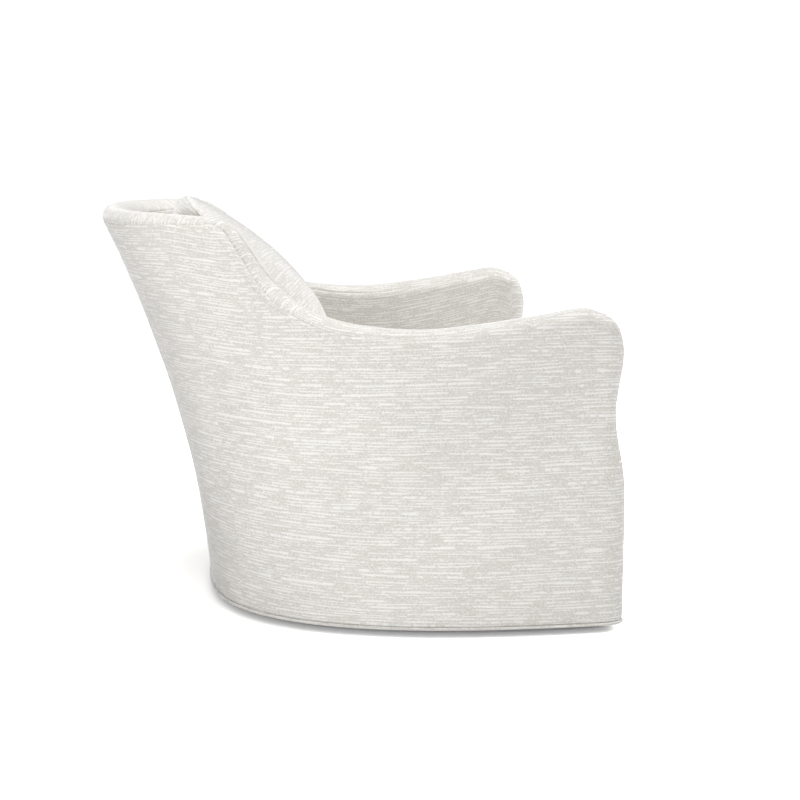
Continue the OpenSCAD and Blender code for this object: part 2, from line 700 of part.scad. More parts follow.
function back_cover_rows(d) = [for (s = back_stations) side_rows(s, d, band_gap)];
module outside_back_cover() {
    color(linen) sheet(back_cover_rows(0), back_cover_rows(cover_t), back_turn);
}

// Inside covers reach down to the deck
function inside_rows(st, d) = let (b = band_start(st)) concat(
    [for (k = [2 : -1 : 0]) let (a = b * cover_edge[k] - (k == 2 ? band_gap : 0))
        wall(st, [1, 180 - a], d, cover_z, pad_foot_z)],
    [for (s = inner_levels) wall(st, [2, s], d, cover_z, pad_foot_z)]);
function inside_grid(stations, d) = [for (s = stations) inside_rows(s, d)];
module inside_arm_cover_right() {
    color(linen) sheet(inside_grid(arm_stations, 0), inside_grid(arm_stations, cover_t));
}
module inside_arm_cover_left() { left() inside_arm_cover_right(); }
module inside_back_cover() {
    color(linen) sheet(inside_grid(back_stations, 0), inside_grid(back_stations, cover_t), back_turn);
}

// One border band runs over the whole edge, from arm front to arm front
function band_row(st, d) = [for (s = [0, 0.25, 0.5, 0.75, 1])
    wall(st, [1, mix(band_start(st), 180 - band_start(st), s)], d, cover_z, cover_z)];
function band_grid(d) = concat([band_row(-0.18, d)], [for (s = all_stations) band_row(s, d)],
    [[for (p = band_row(-0.18, d)) [-p[0], p[1], p[2]]]]);
module rim_band() {
    color(linen) sheet(band_grid(0), band_grid(cover_t), len(arm_stations) + back_turn);
}

border_half = body_w / 2 - arm_w + 1;
module front_padding() {
    color(foam) translate([-border_half + 2, deck_front_y + soft_gap, cover_z])
        cube([2 * border_half - 4, front_rail_y - deck_front_y - 2 * soft_gap, pad_foot_z - cover_z]);
}
module front_border_cover() {
    color(linen) translate([-border_half, border_y, cover_z])
        cube([2 * border_half, cover_t, deck_z - cover_z]);
}

// The welt is a cord round the whole bottom edge
welt_sides = 8;
welt_z = skirt_z + welt_r;
function welt_point(st, p) = wall(st, p, welt_r, welt_z, welt_z);
welt_half = concat(
    [[border_half - 24, border_y + welt_r, welt_z]],
    [for (s = [-0.66, -0.85, -0.96]) welt_point(s, [2, 1])],
    [for (s = nose_stations) welt_point(s, [0, 0])],
    [for (s = arm_stations) welt_point(s, [0, 0])],
    [for (s = [63, 70, 80]) welt_point(s, [0, 0])]);
welt_path = concat(welt_half, [welt_point(90, [0, 0])],
    [for (k = [len(welt_half) - 1 : -1 : 0]) [-welt_half[k][0], welt_half[k][1], welt_half[k][2]]]);
module base_welt() {
    n = len(welt_path);
    m = welt_sides;
    rings = [for (i = [0 : n - 1])
        let (along = welt_path[(i + 1) % n] - welt_path[(i + n - 1) % n],
            side = [along[1], -along[0], 0] / norm(along))
        [for (k = [0 : m - 1]) let (a = 360 * (k + 0.5) / m)
            welt_path[i] + side * cos(a) * welt_r + [0, 0, sin(a) * welt_r]]];
    color(linen) polyhedron([for (r = rings) each r],
        [for (i = [0 : n - 1]) for (k = [0 : m - 1])
            let (j = (i + 1) % n, l = (k + 1) % m)
            each [[i * m + k, i * m + l, j * m + l], [i * m + k, j * m + l, j * m + k]]]);
}

dust_t = 0.9;
dust_in = 2 * welt_r + 1;
module dust_cover() {
    corner = body_w / 2 - 2 * dust_in;
    color(black_cloth) translate([0, 0, ring_z - dust_t]) difference() {
        linear_extrude(dust_t) polygon(concat([for (t = all_stations) plan(t, skirt_z, dust_in)],
            [[-corner, border_y + dust_in], [corner, border_y + dust_in]]));
        at_axis() translate([0, 0, -1]) cylinder(h = 3, r = base_r + 12, $fn = 96);
    }
}

// Seat cushion: a boxed cushion with a crown and drawn-in sides

seat_z = deck_z + soft_gap;
seat_half = body_w / 2 - arm_w - cushion_gap;
cushion_r = 28;
cushion_mid_y = (cushion_front_y + cushion_rear_y) / 2;
cushion_half_d = (cushion_rear_y - cushion_front_y) / 2;
function cushion_side(t) = plan(t, seat_z, wall_w(t, seat_z) + cushion_gap);
function station_at(y, low = 20, high = 90, k = 24) = let (m = (low + high) / 2)
    k == 0 ? m : cushion_side(m)[1] < y ? station_at(y, m, high, k - 1) : station_at(y, low, m, k - 1);
cushion_last = station_at(cushion_rear_y);
cushion_right = concat(
    [for (s = [0.12, 0.36, 0.6, 0.82]) [seat_half * s, cushion_front_y]],
    [for (a = [-80 : 20 : 0])
        [seat_half - cushion_r + cushion_r * cos(a), cushion_front_y + cushion_r + cushion_r * sin(a)]],
    [for (k = [1 : 9]) cushion_side(cushion_last * pow(k / 9, 1.4))],
    [for (s = [0.75, 0.45, 0.15]) [cushion_side(cushion_last)[0] * s, cushion_rear_y]]);
cushion_outline = concat(cushion_right,
    [for (k = [len(cushion_right) - 1 : -1 : 0]) [-cushion_right[k][0], cushion_right[k][1]]]);

// Height of the crown over a place on the cushion
function crown_z(x, y) = let (u = x / seat_half, v = (y - cushion_mid_y) / cushion_half_d)
    seat_z + cushion_h + cushion_crown * max(1 - u * u, 0) * max(1 - v * v * v * v, 0);

// Rings as [how far the ring is drawn in, height share, share of the full width]
cushion_rings = [[0, 0, 0.5], [4, 0, 1], [0, 0.07, 1], [0.7, 0.2, 1], [1, 0.5, 1],
    [0.7, 0.8, 1], [0, 0.93, 1], [4, 1, 1]];
cushion_top = [0.95, 0.85, 0.68, 0.45, 0.2];
function cushion_ring(inset, share, z) = [for (p = cushion_outline)
    [p[0] * share * (1 - inset / seat_half),
        cushion_mid_y + (p[1] - cushion_mid_y) * share * (1 - inset / cushion_half_d), z]];
module cushion_form(d) {
    lower = [for (r = cushion_rings)
        let (inset = (r[0] <= 1 ? r[0] * cushion_tuck : r[0]) + d)
        cushion_ring(inset, r[2], seat_z + mix(d, cushion_h - d, r[1]))];
    upper = [for (s = cushion_top) [for (p = cushion_ring(4 + d, s, 0)) [p[0], p[1], crown_z(p[0], p[1]) - d]]];
    loft(concat(lower, upper), [0, cushion_mid_y, seat_z + d],
        [0, cushion_mid_y, crown_z(0, cushion_mid_y) - d]);
}
module seat_cushion_cover() {
    color(linen) difference() {
        cushion_form(0);
        cushion_form(cover_t);
    }
}
module seat_cushion_core() { color(foam) cushion_form(pad_in); }

// The zip lies along the straight back of the cushion, over its drawn-in middle
tape_t = 1.2;
teeth_w = 5;
teeth_t = 1.4;
zip_z = seat_z + cushion_h / 2;
zip_y = cushion_rear_y - cushion_tuck * (1 - zip_w / cushion_h / 2) + soft_gap;
module seat_cushion_zip() {
    color(nylon) {
        translate([-zip_l / 2, zip_y, zip_z - zip_w / 2]) cube([zip_l, tape_t, zip_w]);
        translate([-zip_l / 2 + 4, zip_y + tape_t, zip_z - teeth_w / 2]) cube([zip_l - 8, teeth_t, teeth_w]);
    }
}

slider_l = 14;
slider_start = -zip_l / 2 + 6;
module zip_slider() {
    y = zip_y + tape_t;
    color(steel) translate([slider_start, y, zip_z]) difference() {
        union() {
            translate([0, soft_gap, -teeth_w]) cube([slider_l, teeth_t + 2, 2 * teeth_w]);
            translate([3, teeth_t + 2 + soft_gap, -26]) cube([slider_l - 6, 1.6, 28]);
        }
        translate([-1, -1, -teeth_w / 2 - soft_gap])
            cube([slider_l + 2, teeth_t + 2 * soft_gap + 1, teeth_w + 2 * soft_gap]);
    }
}

// Back pillow: two crowned faces that meet at a seam, leaning on the inside back

pillow_foot_z = seat_z + cushion_h + cushion_crown + 2 * soft_gap;
pillow_mid_z = (pillow_foot_z + pillow_top_z) / 2;
pillow_half_h = (pillow_top_z - pillow_foot_z) / 2;
pillow_corner = 0.6;
pillow_angles = [for (k = [0 : 35]) 5 + 10 * k];
pillow_shares = [0.3, 0.55, 0.75, 0.88, 0.96];
function pillow_inset(z) = wall_w(90, z) + pillow_gap;
function pillow_back(x, z) = plan_y(x, z, wall_w(90, z) + pillow_touch)
    - pillow_roll * pow(max(z - pillow_mid_z, 0) / (pillow_top_z - pillow_mid_z), 2);
function pillow_seam(z) =
    mix(pillow_seam_foot_y, pillow_seam_y, (z - pillow_foot_z) / (pillow_top_z - pillow_foot_z));
function pillow_front(z) = let (q = z - pillow_foot_z) pillow_foot_y + q * (pillow_lean + q * pillow_bend);

// Half of the pillow's width: at its seam it reaches the inside of the wings
function pillow_half(z) =
    let (n = square_at(z), s = (pillow_seam(z) - nose_root_y) / (reach(z) - pillow_inset(z)))
    (body_w / 2 - pillow_inset(z)) * pow(1 - pow(min(s, 0.999), n), 1 / n);
function pillow_point(angle, share, side, d) =
    let (high = signed_pow(sin(angle), pillow_corner) * (pillow_half_h - d), seam_z = pillow_mid_z + high,
        x = share * signed_pow(cos(angle), pillow_corner) * (pillow_half(seam_z) - d),
        z = pillow_mid_z + share * high, seam = pillow_seam(seam_z),
        face = side > 0 ? pillow_front(z) + d : pillow_back(x, z) - d,
        y = seam + (face - seam) * sqrt(max(1 - pow(share, side > 0 ? 2.2 : 2.8), 0)))
    [x, y, z];
function pillow_ring(share, side, d) = [for (a = pillow_angles) pillow_point(a, share, side, d)];
module pillow_form(d) {
    loft(concat([for (s = pillow_shares) pillow_ring(s, -1, d)], [pillow_ring(1, 1, d)],
            [for (k = [4 : -1 : 0]) pillow_ring(pillow_shares[k], 1, d)]),
        pillow_point(0, 0, -1, d), pillow_point(0, 0, 1, d));
}
module back_pillow_cover() {
    color(linen) difference() {
        pillow_form(0);
        pillow_form(cover_t);
    }
}
module back_pillow_core() { color(wadding) pillow_form(pad_in); }

floor_glides();
base_blocks();
base_board();
swivel_lower_plate();
lower_plate_bolts();
pivot_bolt();
pivot_washer();
pivot_nut();
ball_cage();
bearing_balls();
swivel_upper_plate();
upper_plate_screws();
swivel_mount_rails();
bottom_ring();
front_bottom_rail();
front_post_right();
front_post_left();
arm_panel_right();
arm_panel_left();
back_posts();
back_top_rail();
back_lumbar_rail();
back_webbing();
seat_side_rail_right();
seat_side_rail_left();
seat_front_rail();
seat_rear_rail();
seat_springs();
spring_clips();
deck_pad();
deck_cloth();
arm_padding_right();
arm_padding_left();
arm_front_padding_right();
arm_front_padding_left();
back_padding();
front_padding();
outside_arm_cover_right();
outside_arm_cover_left();
inside_arm_cover_right();
inside_arm_cover_left();
outside_back_cover();
inside_back_cover();
rim_band();
front_border_cover();
base_welt();
dust_cover();
seat_cushion_cover();
seat_cushion_core();
seat_cushion_zip();
zip_slider();
back_pillow_cover();
back_pillow_core();
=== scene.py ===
"""Dresses the swivel chair: woven covers, cushions, studio light and the photograph's camera."""
import json
import math

import bpy
import numpy as np
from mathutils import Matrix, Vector, noise
from mathutils.bvhtree import BVHTree


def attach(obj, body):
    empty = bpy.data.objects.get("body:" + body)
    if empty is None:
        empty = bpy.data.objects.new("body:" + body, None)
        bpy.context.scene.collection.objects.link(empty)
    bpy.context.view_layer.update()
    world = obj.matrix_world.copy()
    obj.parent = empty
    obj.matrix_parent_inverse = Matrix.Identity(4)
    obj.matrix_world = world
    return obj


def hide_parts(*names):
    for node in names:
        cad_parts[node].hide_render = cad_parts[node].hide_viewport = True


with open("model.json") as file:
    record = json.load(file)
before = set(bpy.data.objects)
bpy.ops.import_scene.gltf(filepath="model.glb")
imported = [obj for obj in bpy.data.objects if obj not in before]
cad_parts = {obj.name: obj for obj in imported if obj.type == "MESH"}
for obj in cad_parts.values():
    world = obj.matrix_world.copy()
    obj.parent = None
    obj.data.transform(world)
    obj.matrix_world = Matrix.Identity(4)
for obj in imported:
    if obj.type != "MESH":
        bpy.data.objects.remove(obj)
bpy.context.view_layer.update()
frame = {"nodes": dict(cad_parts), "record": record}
scene = bpy.context.scene
MM = 0.001

# Camera, solved from the photograph
EYE = Vector((-3.0911, 0.3637, 0.9115))
AIM = Vector((0.0, -0.111, 0.359))
cam_data = bpy.data.cameras.new("camera")
cam_data.lens, cam_data.sensor_width = 72.0, 36.0
camera = bpy.data.objects.new("camera", cam_data)
scene.collection.objects.link(camera)
camera.location = EYE
camera.rotation_mode = "QUATERNION"
camera.rotation_quaternion = (AIM - EYE).to_track_quat("-Z", "Y")
scene.camera = camera

# Sizes of the shell in millimetres, as in the part's source: its plan, its rim and its wings
BODY_W, ROOT_Y = 840.0, -411.0
FOOT_REAR, RIM_REAR = 268.0, 462.0
FOOT_SQUARE, RIM_SQUARE = 2.67, 3.12
SKIRT_Z, RIM_Z, ARM_Z, LOW_Z = 12.0, 748.0, 584.0, 549.0
FLARE_TOP = RIM_Z - 13
PEAK_Y, LOW_Y, WING_FOOT, WING_TOP = -372.0, -85.0, 80.0, 262.0
WING_Z = LOW_Z + 23
# The walls and the roundness of their edge, thicker from one station to another
ARM_W, BACK_W, TAPER, EDGE = 62.0, 66.0, 0.12, 26.0
THICKER_FROM, THICKER_TO = 34, 60
# The front of the arms, seen from the side, and the power of its rounding
FOOT_Y, WAIST_Y, KNUCKLE_Y, WAIST_Z, KNUCKLE_Z = -458.0, -437.0, -450.0, 402.0, 503.0
NOSE_POWER = 2.4
# The band, the welt, the front border, the covers, the deck and what carries it
BAND_ANGLE, WELT_R, BORDER_Y, COVER_T = 27.0, 3.0, -434.0, 2.0
DECK_Z, PAD_FOOT, RAIL_Z = 315.2, 299.4, 296.0
# The outside seam: the stations that lean with it, and where it lies in plan at foot and rim
SEAM_START, SEAM_STATION, SEAM_FOOT, SEAM_TOP = 44.0, 57.0, 65.0, 55.6


def mix(a, b, s):
    return a + (b - a) * s


def ramp(x, a, b):
    """A soft step from 0 at a to 1 at b."""
    s = min(max((x - a) / (b - a), 0.0), 1.0)
    return s * s * (3 - 2 * s)


# Height of the rim over the arm's length, as (y, z)
RIM_LINE = [(ROOT_Y - 12, ARM_Z - 17), (ROOT_Y, ARM_Z - 10.5), (ROOT_Y + 19, ARM_Z - 3),
            (PEAK_Y, ARM_Z), (PEAK_Y + 80, ARM_Z - 12), (LOW_Y - 115, LOW_Z + 10),
            (LOW_Y, LOW_Z), ((LOW_Y + 2 * WING_FOOT) / 3, LOW_Z + 9)]
RIM_LINE += [(mix(WING_FOOT, WING_TOP, a), mix(WING_Z, RIM_Z, b)) for a, b in
             [(0, 0), (0.25, 0.115), (0.55, 0.385), (0.76, 0.715), (0.87, 0.877), (1, 0.95)]]
RIM_LINE += [(WING_TOP + 60, RIM_Z - 3), (RIM_REAR - 20, RIM_Z)]
# The front of the arm from the foot up, as (z, y)
FRONT_LINE = [(SKIRT_Z, FOOT_Y), (WAIST_Z - 181, FOOT_Y)]
FRONT_LINE += [(WAIST_Z + dz, mix(FOOT_Y, WAIST_Y, s)) for dz, s in
               [(-126, 0.1), (-82, 0.45), (-42, 0.84), (0, 1)]]
FRONT_LINE += [(WAIST_Z + 38, mix(WAIST_Y, KNUCKLE_Y, 0.36)), (WAIST_Z + 68, mix(WAIST_Y, KNUCKLE_Y, 0.75)),
               (KNUCKLE_Z, KNUCKLE_Y), (ARM_Z - 58, KNUCKLE_Y + 3), (ARM_Z - 36, KNUCKLE_Y + 10),
               (ARM_Z - 26, KNUCKLE_Y + 17), (ARM_Z - 16, KNUCKLE_Y + 27.5), (ARM_Z - 10, ROOT_Y - 2)]
# Where the band starts on the rounded edge, as (station, angle)
BAND_LINE = [(0, 60), (3, 48), (9, BAND_ANGLE + 7), (20, BAND_ANGLE), (30, BAND_ANGLE), (33.5, 36),
             (37, 41), (38.6, 50), (40.3, 60), (42.3, 64), (44.3, 53), (46, 38), (51, 28), (57, 22),
             (63, 14), (70, 9), (90, 7)]


def curve(tab, x):
    """Smooth curve through the (x, y) points of tab."""
    x = min(max(x, tab[0][0]), tab[-1][0])
    k = max([0] + [i for i in range(len(tab) - 1) if tab[i][0] <= x])
    slopes = []
    for j in (k, k + 1):
        a, b = tab[max(j - 1, 0)], tab[min(j + 1, len(tab) - 1)]
        slopes.append((b[1] - a[1]) / (b[0] - a[0]))
    a, b = tab[k], tab[k + 1]
    run = b[0] - a[0]
    s = (x - a[0]) / run
    return (a[1] * (1 + 2 * s) * (1 - s) ** 2 + b[1] * s * s * (3 - 2 * s)
            + run * s * (1 - s) * (slopes[0] * (1 - s) - slopes[1] * s))


def flare(z):
    """How far the shell has flared at height z: 0 at the foot, 1 near the rim."""
    u = max(z - SKIRT_Z, 0) / (FLARE_TOP - SKIRT_Z)
    return 0.27 * u + 0.73 * u * u


def reach(z):
    return mix(FOOT_REAR, RIM_REAR, flare(z)) - ROOT_Y


def square_at(z):
    return mix(FOOT_SQUARE, RIM_SQUARE, flare(z))


def half_station(t):
    """A station is an angle in plan: 0 at the arm's front, 90 at the back's middle, 180 at the other arm."""
    return min(t, 180 - t)


def lean_half(s, z):
    """The stations round the outside seam lean with it."""
    seam = mix(SEAM_FOOT, SEAM_TOP, (z - SKIRT_Z) / (RIM_Z - SKIRT_Z))
    if s <= SEAM_START:
        return s
    if s <= SEAM_STATION:
        return mix(SEAM_START, seam, (s - SEAM_START) / (SEAM_STATION - SEAM_START))
    return mix(seam, 90, (s - SEAM_STATION) / (90 - SEAM_STATION))


def signed_power(v, e):
    return math.copysign(abs(v) ** e, v)


def plan(t, z, inset):
    """The shell's plan at height z, drawn in by inset: x and y at station t."""
    q = math.radians(lean_half(t, z) if t <= 90 else 180 - lean_half(180 - t, z))
    e = 2 / square_at(z)
    return ((BODY_W / 2 - inset) * signed_power(math.cos(q), e),
            ROOT_Y + (reach(z) - inset) * max(math.sin(q), 0) ** e)


def plan_y(x, z, inset):
    n = square_at(z)
    s = min(abs(x) / (BODY_W / 2 - inset), 0.999)
    return ROOT_Y + (reach(z) - inset) * (1 - s ** n) ** (1 / n)


RIM_CACHE = {}
RIM_GUESS = 620.0


def rim_at(t):
    """Height of the rim at station t: plan and rim line depend on each other, so it is searched for."""
    key = round(half_station(t), 6)
    if key not in RIM_CACHE:
        z = RIM_GUESS
        for _ in range(9):
            z = curve(RIM_LINE, plan(key, z, ARM_W / 2)[1])
        RIM_CACHE[key] = z
    return RIM_CACHE[key]


def wall_w(t, z):
    return mix(ARM_W, BACK_W + TAPER * (FLARE_TOP - z), ramp(half_station(t), THICKER_FROM, THICKER_TO))


def nose_w(f):
    """Share of the wall's thickness left where the arm's front rounds off."""
    return max(1 - f ** NOSE_POWER, 0) ** (1 / NOSE_POWER)


def wall_point(st, z, turn, thick_z):
    """A point of the wall at height z: turn 1 is its outside, -1 its inside."""
    t, f = max(st, 0), max(-st, 0)
    half = wall_w(t, thick_z) / 2
    inset = half - half * turn * nose_w(f)
    if st >= 0:
        x, y = plan(t, z, inset)
        return (x, y, z)
    return (BODY_W / 2 - inset, mix(ROOT_Y, curve(FRONT_LINE, z), f), z)


def outside_at(st, s, foot):
    """Up the outside of the wall: s is 0 at foot and 1 where the rounded edge begins."""
    z = mix(foot, rim_at(max(st, 0)) - EDGE, s)
    return wall_point(st, z, 1.0, z)


def edge_at(st, angle):
    """Over the rounded edge: 0 degrees outside, 180 degrees inside."""
    middle = rim_at(max(st, 0)) - EDGE
    a = math.radians(angle)
    return wall_point(st, middle + EDGE * math.sin(a), math.cos(a), middle)


def inside_at(st, s, foot):
    """Down the inside of the wall: s is 0 at the rounded edge and 1 at foot."""
    z = mix(rim_at(max(st, 0)) - EDGE, foot, s)
    return wall_point(st, z, -1.0, z)


def band_start(st):
    """The angle on the rounded edge where the band starts."""
    if st < -0.2:
        return 89.9
    if st < 0:
        return mix(60, 87, -st / 0.18)
    return curve(BAND_LINE, half_station(st))


# Depth of the band's seams at the arm's front, on the arm, on the wing and on the back
NOSE_SEAM, ARM_SEAM, WING_SEAM, BACK_SEAM = 0.25, 0.35, 2.4, 1.1


def seam_depth(st):
    """How deep the band's seams are drawn in: most on the wing, hardly at the arm's front."""
    h = half_station(max(st, 0))
    if st < 0:
        return NOSE_SEAM
    if h < 36:
        return mix(ARM_SEAM, WING_SEAM, ramp(h, 6, 33))
    return mix(WING_SEAM, BACK_SEAM, ramp(h, 40, 52))


def fine(stations, parts):
    """The stations with each interval cut into parts, finer where the plan turns sharply."""
    out = [stations[0]]
    for a, b in zip(stations, stations[1:]):
        for k in range(1, parts + 1):
            s = k / parts
            out.append(mix(a, b, s ** 1.43 if a == 0 else s))
    return out


# Stations of the arm, of the back and, below 0, of the arm's rounded front. The outside seam has a narrow
# column on either side, so that its shading stays as narrow
ARM_ST = [0, 1, 2.4, 5, 9, 14, 20, 26, 30.5, 33.5, 35.5, 37, 38.3, 40, 42.5, 46, 51, SEAM_STATION]
BACK_ST = [SEAM_STATION, 63, 70, 78, 85, 90, 95, 102, 110, 117, 180 - SEAM_STATION]
NARROW = 0.1
arm_st = fine(ARM_ST, 5)[:-1] + [SEAM_STATION - NARROW, SEAM_STATION]
back_st = [SEAM_STATION, SEAM_STATION + NARROW] + fine(BACK_ST, 8)[1:-1]
back_st += [180 - SEAM_STATION - NARROW, 180 - SEAM_STATION]
nose_f = [math.sin(math.radians(a)) ** (2 / NOSE_POWER) for a in np.linspace(4, 90, 16)]
nose_in = [-f for f in nose_f]
nose_out = [-f for f in nose_f[-2::-1]]


# Meshes

def link(name, mesh, body, *nodes, slot_name="linen"):
    obj = bpy.data.objects.new(name, mesh)
    scene.collection.objects.link(obj)
    if nodes:
        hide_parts(*nodes)
    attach(obj, body)
    return obj


def grid_normals(p):
    du = np.gradient(p, axis=0)
    dv = np.gradient(p, axis=1)
    n = np.cross(du, dv)
    return n / np.maximum(np.linalg.norm(n, axis=2, keepdims=True), 1e-9)


def arc(p, axis, last=False):
    """Distance of each point from the first or last row or column, along the surface."""
    step = np.linalg.norm(np.diff(p, axis=axis), axis=2)
    zero = np.zeros_like(np.take(step, [0], axis=axis))
    run = np.concatenate([zero, np.cumsum(step, axis=axis)], axis=axis)
    return np.take(run, [-1], axis=axis) - run if last else run


def cloth_map(p, cut=(0.0, 0.0), turn=1):
    """Where each point lies on the cloth, in metres: along the rows and across them, from the cut on."""
    return np.stack([arc(p, 0), turn * arc(p, 1)], axis=2) * MM + np.array(cut)


def closed_grid(name, outer, inner, uv, flip, keep=None):
    """A closed mesh between two grids of points in millimetres, with uv in metres.
    keep says which cells of the grid there are."""
    nu, nv = outer.shape[:2]
    n = nu * nv
    verts = np.concatenate([outer.reshape(-1, 3), inner.reshape(-1, 3)]) * MM
    keep = np.ones((nu - 1, nv - 1), bool) if keep is None else keep
    there = np.pad(keep, 1)
    faces, smooth = [], []
    for i in range(nu - 1):
        for j in range(nv - 1):
            if not keep[i, j]:
                continue
            a, b = i * nv + j, (i + 1) * nv + j
            faces.append((a, b, b + 1, a + 1))
            faces.append((n + a, n + a + 1, n + b + 1, n + b))
            smooth += [True, True]
            if not there[i + 1, j]:
                faces.append((b, a, a + n, b + n))
            if not there[i + 1, j + 2]:
                faces.append((a + 1, b + 1, b + 1 + n, a + 1 + n))
            if not there[i, j + 1]:
                faces.append((a, a + 1, a + 1 + n, a + n))
            if not there[i + 2, j + 1]:
                faces.append((b + 1, b, b + n, b + 1 + n))
            smooth += [False] * (len(faces) - len(smooth))
    if flip:
        faces = [f[::-1] for f in faces]
    used = np.zeros(2 * n, bool)
    used[np.array(faces).ravel()] = True
    place = np.cumsum(used) - 1
    mesh = bpy.data.meshes.new(name)
    mesh.from_pydata(verts[used].tolist(), [], place[np.array(faces)].tolist())
    mesh.polygons.foreach_set("use_smooth", smooth)
    flat = np.concatenate([uv.reshape(-1, 2)] * 2)[used]
    layer = mesh.uv_layers.new(name="UVMap")
    index = np.empty(len(mesh.loops), dtype=np.int32)
    mesh.loops.foreach_get("vertex_index", index)
    layer.data.foreach_set("uv", flat[index].ravel().astype(np.float32))
    return mesh


# Size of the swells in a padded face, and how wide they fade out at its seams
SWELL_SIZE, SWELL_FADE = 90.0, 40.0


def upholstery(name, p, uv, thick, tucks, body, nodes, flip, soft=0.0, seed=0, keep=None, rise=None):
    """A padded panel. tucks are its seams as (axis, last, depth, width): the edge dips in there.
    Its face swells a little, and rise lifts it where it is given."""
    n = grid_normals(p) * (-1 if flip else 1)
    d = np.zeros(p.shape[:2])
    near = np.full(p.shape[:2], 1e9)
    for axis, last, depth, width in tucks:
        dist = arc(p, axis, last)
        depth = np.asarray(depth, float)
        depth = depth[:, None] if depth.ndim and axis == 1 else depth
        d = np.maximum(d, depth * np.exp(-((dist / width) ** 1.5)))
        near = np.minimum(near, dist)
    swell = np.zeros_like(d)
    if soft:
        for i in range(p.shape[0]):
            for j in range(p.shape[1]):
                q = Vector(p[i, j] / SWELL_SIZE) + Vector((seed, 0, 0))
                swell[i, j] = noise.noise(q) * soft
        swell *= np.clip(near / SWELL_FADE, 0, 1)
    if rise is not None:
        swell = swell + rise
    outer = p - n * (d - swell)[:, :, None]
    inner = p - n * thick
    mesh = closed_grid(name, outer, inner, uv, flip, keep)
    return link(name, mesh, body, *nodes)


def mirrored(p):
    return p * np.array([-1.0, 1.0, 1.0])


# Rise of the weave's rows at the outside seam, on the arm from a station on and on the back
ARM_BOW, BOW_FROM, BACK_BOW = 13.0, 30, -4.0


def bow(st, z):
    """How far the rows of the weave rise towards the outside seam."""
    h = half_station(max(st, 0))
    if h <= SEAM_STATION:
        w = max(h - BOW_FROM, 0) / (SEAM_STATION - BOW_FROM)
        return ARM_BOW * w * w * (0.4 + 0.6 * z / RIM_Z)
    w = (90 - h) / (90 - SEAM_STATION)
    return BACK_BOW * w * w * (z / RIM_Z)


# The edges of a panel's grid: its first and last station, and its first and last level
FIRST_ST, LAST_ST, FIRST_LEVEL, LAST_LEVEL = (0, False), (0, True), (1, False), (1, True)
# How deep a seam draws the cover in, and over what width
FRONT_TUCK, SIDE_TUCK, FOOT_TUCK = (1.0, 1.6), (0.25, 1.0), (3.6, 3.4)
CORNER_TUCK, BORDER_TUCK = (2.0, 3.0), (2.0, 5.0)
PANEL_TUCK_W, BAND_TUCK_W = 2.6, 2.4
# Where on the cloth the panels are cut, in metres
BACK_CUT, INSIDE_ARM_CUT, INSIDE_BACK_CUT, BORDER_CUT = (3.1, 0.0017), (1.7, 5.2), (4.7, 8.2), (7.7, 0)
PANEL_T, BAND_T, BORDER_T, DECK_T = 9.0, 6.0, 20.0, 11.0
SIDES = (("right", False), ("left", True))
fabric_pieces = []

# Outside covers, from just above the welt to the band, where they stop a little short, in degrees
COVER_Z = SKIRT_Z + 2 * WELT_R - 1.0
SEAM_GAP = 0.1
# Levels up the wall, closer at its foot, and steps over the rounded edge
LEVELS = np.concatenate([[0, 0.004, 0.01, 0.02], np.linspace(0.035, 1, 44)])
TURN = np.linspace(0, 1, 15)[1:]


def outside_column(st):
    b = band_start(st) - SEAM_GAP
    return [outside_at(st, s, COVER_Z) for s in LEVELS] + [edge_at(st, b * s) for s in TURN]


def outside_panel(stations, root_col, cut=(0.0, 0.0)):
    """The points of an outside cover and its map, whose rows start at column root_col."""
    cols = [outside_column(st) for st in stations]
    p = np.array(cols)
    u = arc(p, 0)
    v = arc(p, 1) + COVER_Z
    rise = np.array([[bow(st, q[2]) for q in col] for st, col in zip(stations, cols)])
    return p, np.stack([u - u[root_col], v - rise], axis=2) * MM + np.array(cut)


arm_stations = nose_out + arm_st
arm_p, arm_uv = outside_panel(arm_stations, len(nose_out))
arm_tucks = [(*FIRST_ST, *FRONT_TUCK), (*LAST_ST, *SIDE_TUCK), (*FIRST_LEVEL, *FOOT_TUCK),
             (*LAST_LEVEL, [seam_depth(st) for st in arm_stations], PANEL_TUCK_W)]
for side, left in SIDES:
    obj = upholstery("outside_arm_" + side, mirrored(arm_p) if left else arm_p, arm_uv, PANEL_T, arm_tucks,
                     "chair", ["outside_arm_cover_" + side, "arm_padding_" + side,
                               "arm_front_padding_" + side], left, soft=1.2, seed=11 if left else 3)
    fabric_pieces.append(obj)
back_depth = [seam_depth(st) for st in back_st]
back_p, back_uv = outside_panel(back_st, len(back_st) // 2, BACK_CUT)
back_tucks = [(*FIRST_ST, *SIDE_TUCK), (*LAST_ST, *SIDE_TUCK), (*FIRST_LEVEL, *FOOT_TUCK),
              (*LAST_LEVEL, back_depth, PANEL_TUCK_W)]
obj = upholstery("outside_back", back_p, back_uv, PANEL_T, back_tucks, "chair",
                 ["outside_back_cover", "back_padding"], False, soft=1.2, seed=7)
fabric_pieces.append(obj)

# Inside covers, from the band down to the deck; round the arm's front they go down to the foot.
# LOWER counts the levels below the deck, and the weave's rows are measured along level ROW_LEVEL
LOWER = 22
ROW_LEVEL = 20


def inside_column(st, lower):
    b = band_start(st) - SEAM_GAP
    col = [edge_at(st, 180 - b * s) for s in np.linspace(1, 0, 15)]
    col += [inside_at(st, s, PAD_FOOT) for s in np.linspace(0, 1, 30)[1:]]
    if lower:
        foot = COVER_Z if st < 0 else PAD_FOOT - 1
        for s in np.linspace(0, 1, LOWER)[1:]:
            z = mix(PAD_FOOT, foot, s)
            col.append(wall_point(st, z, -1.0, z))
    return col


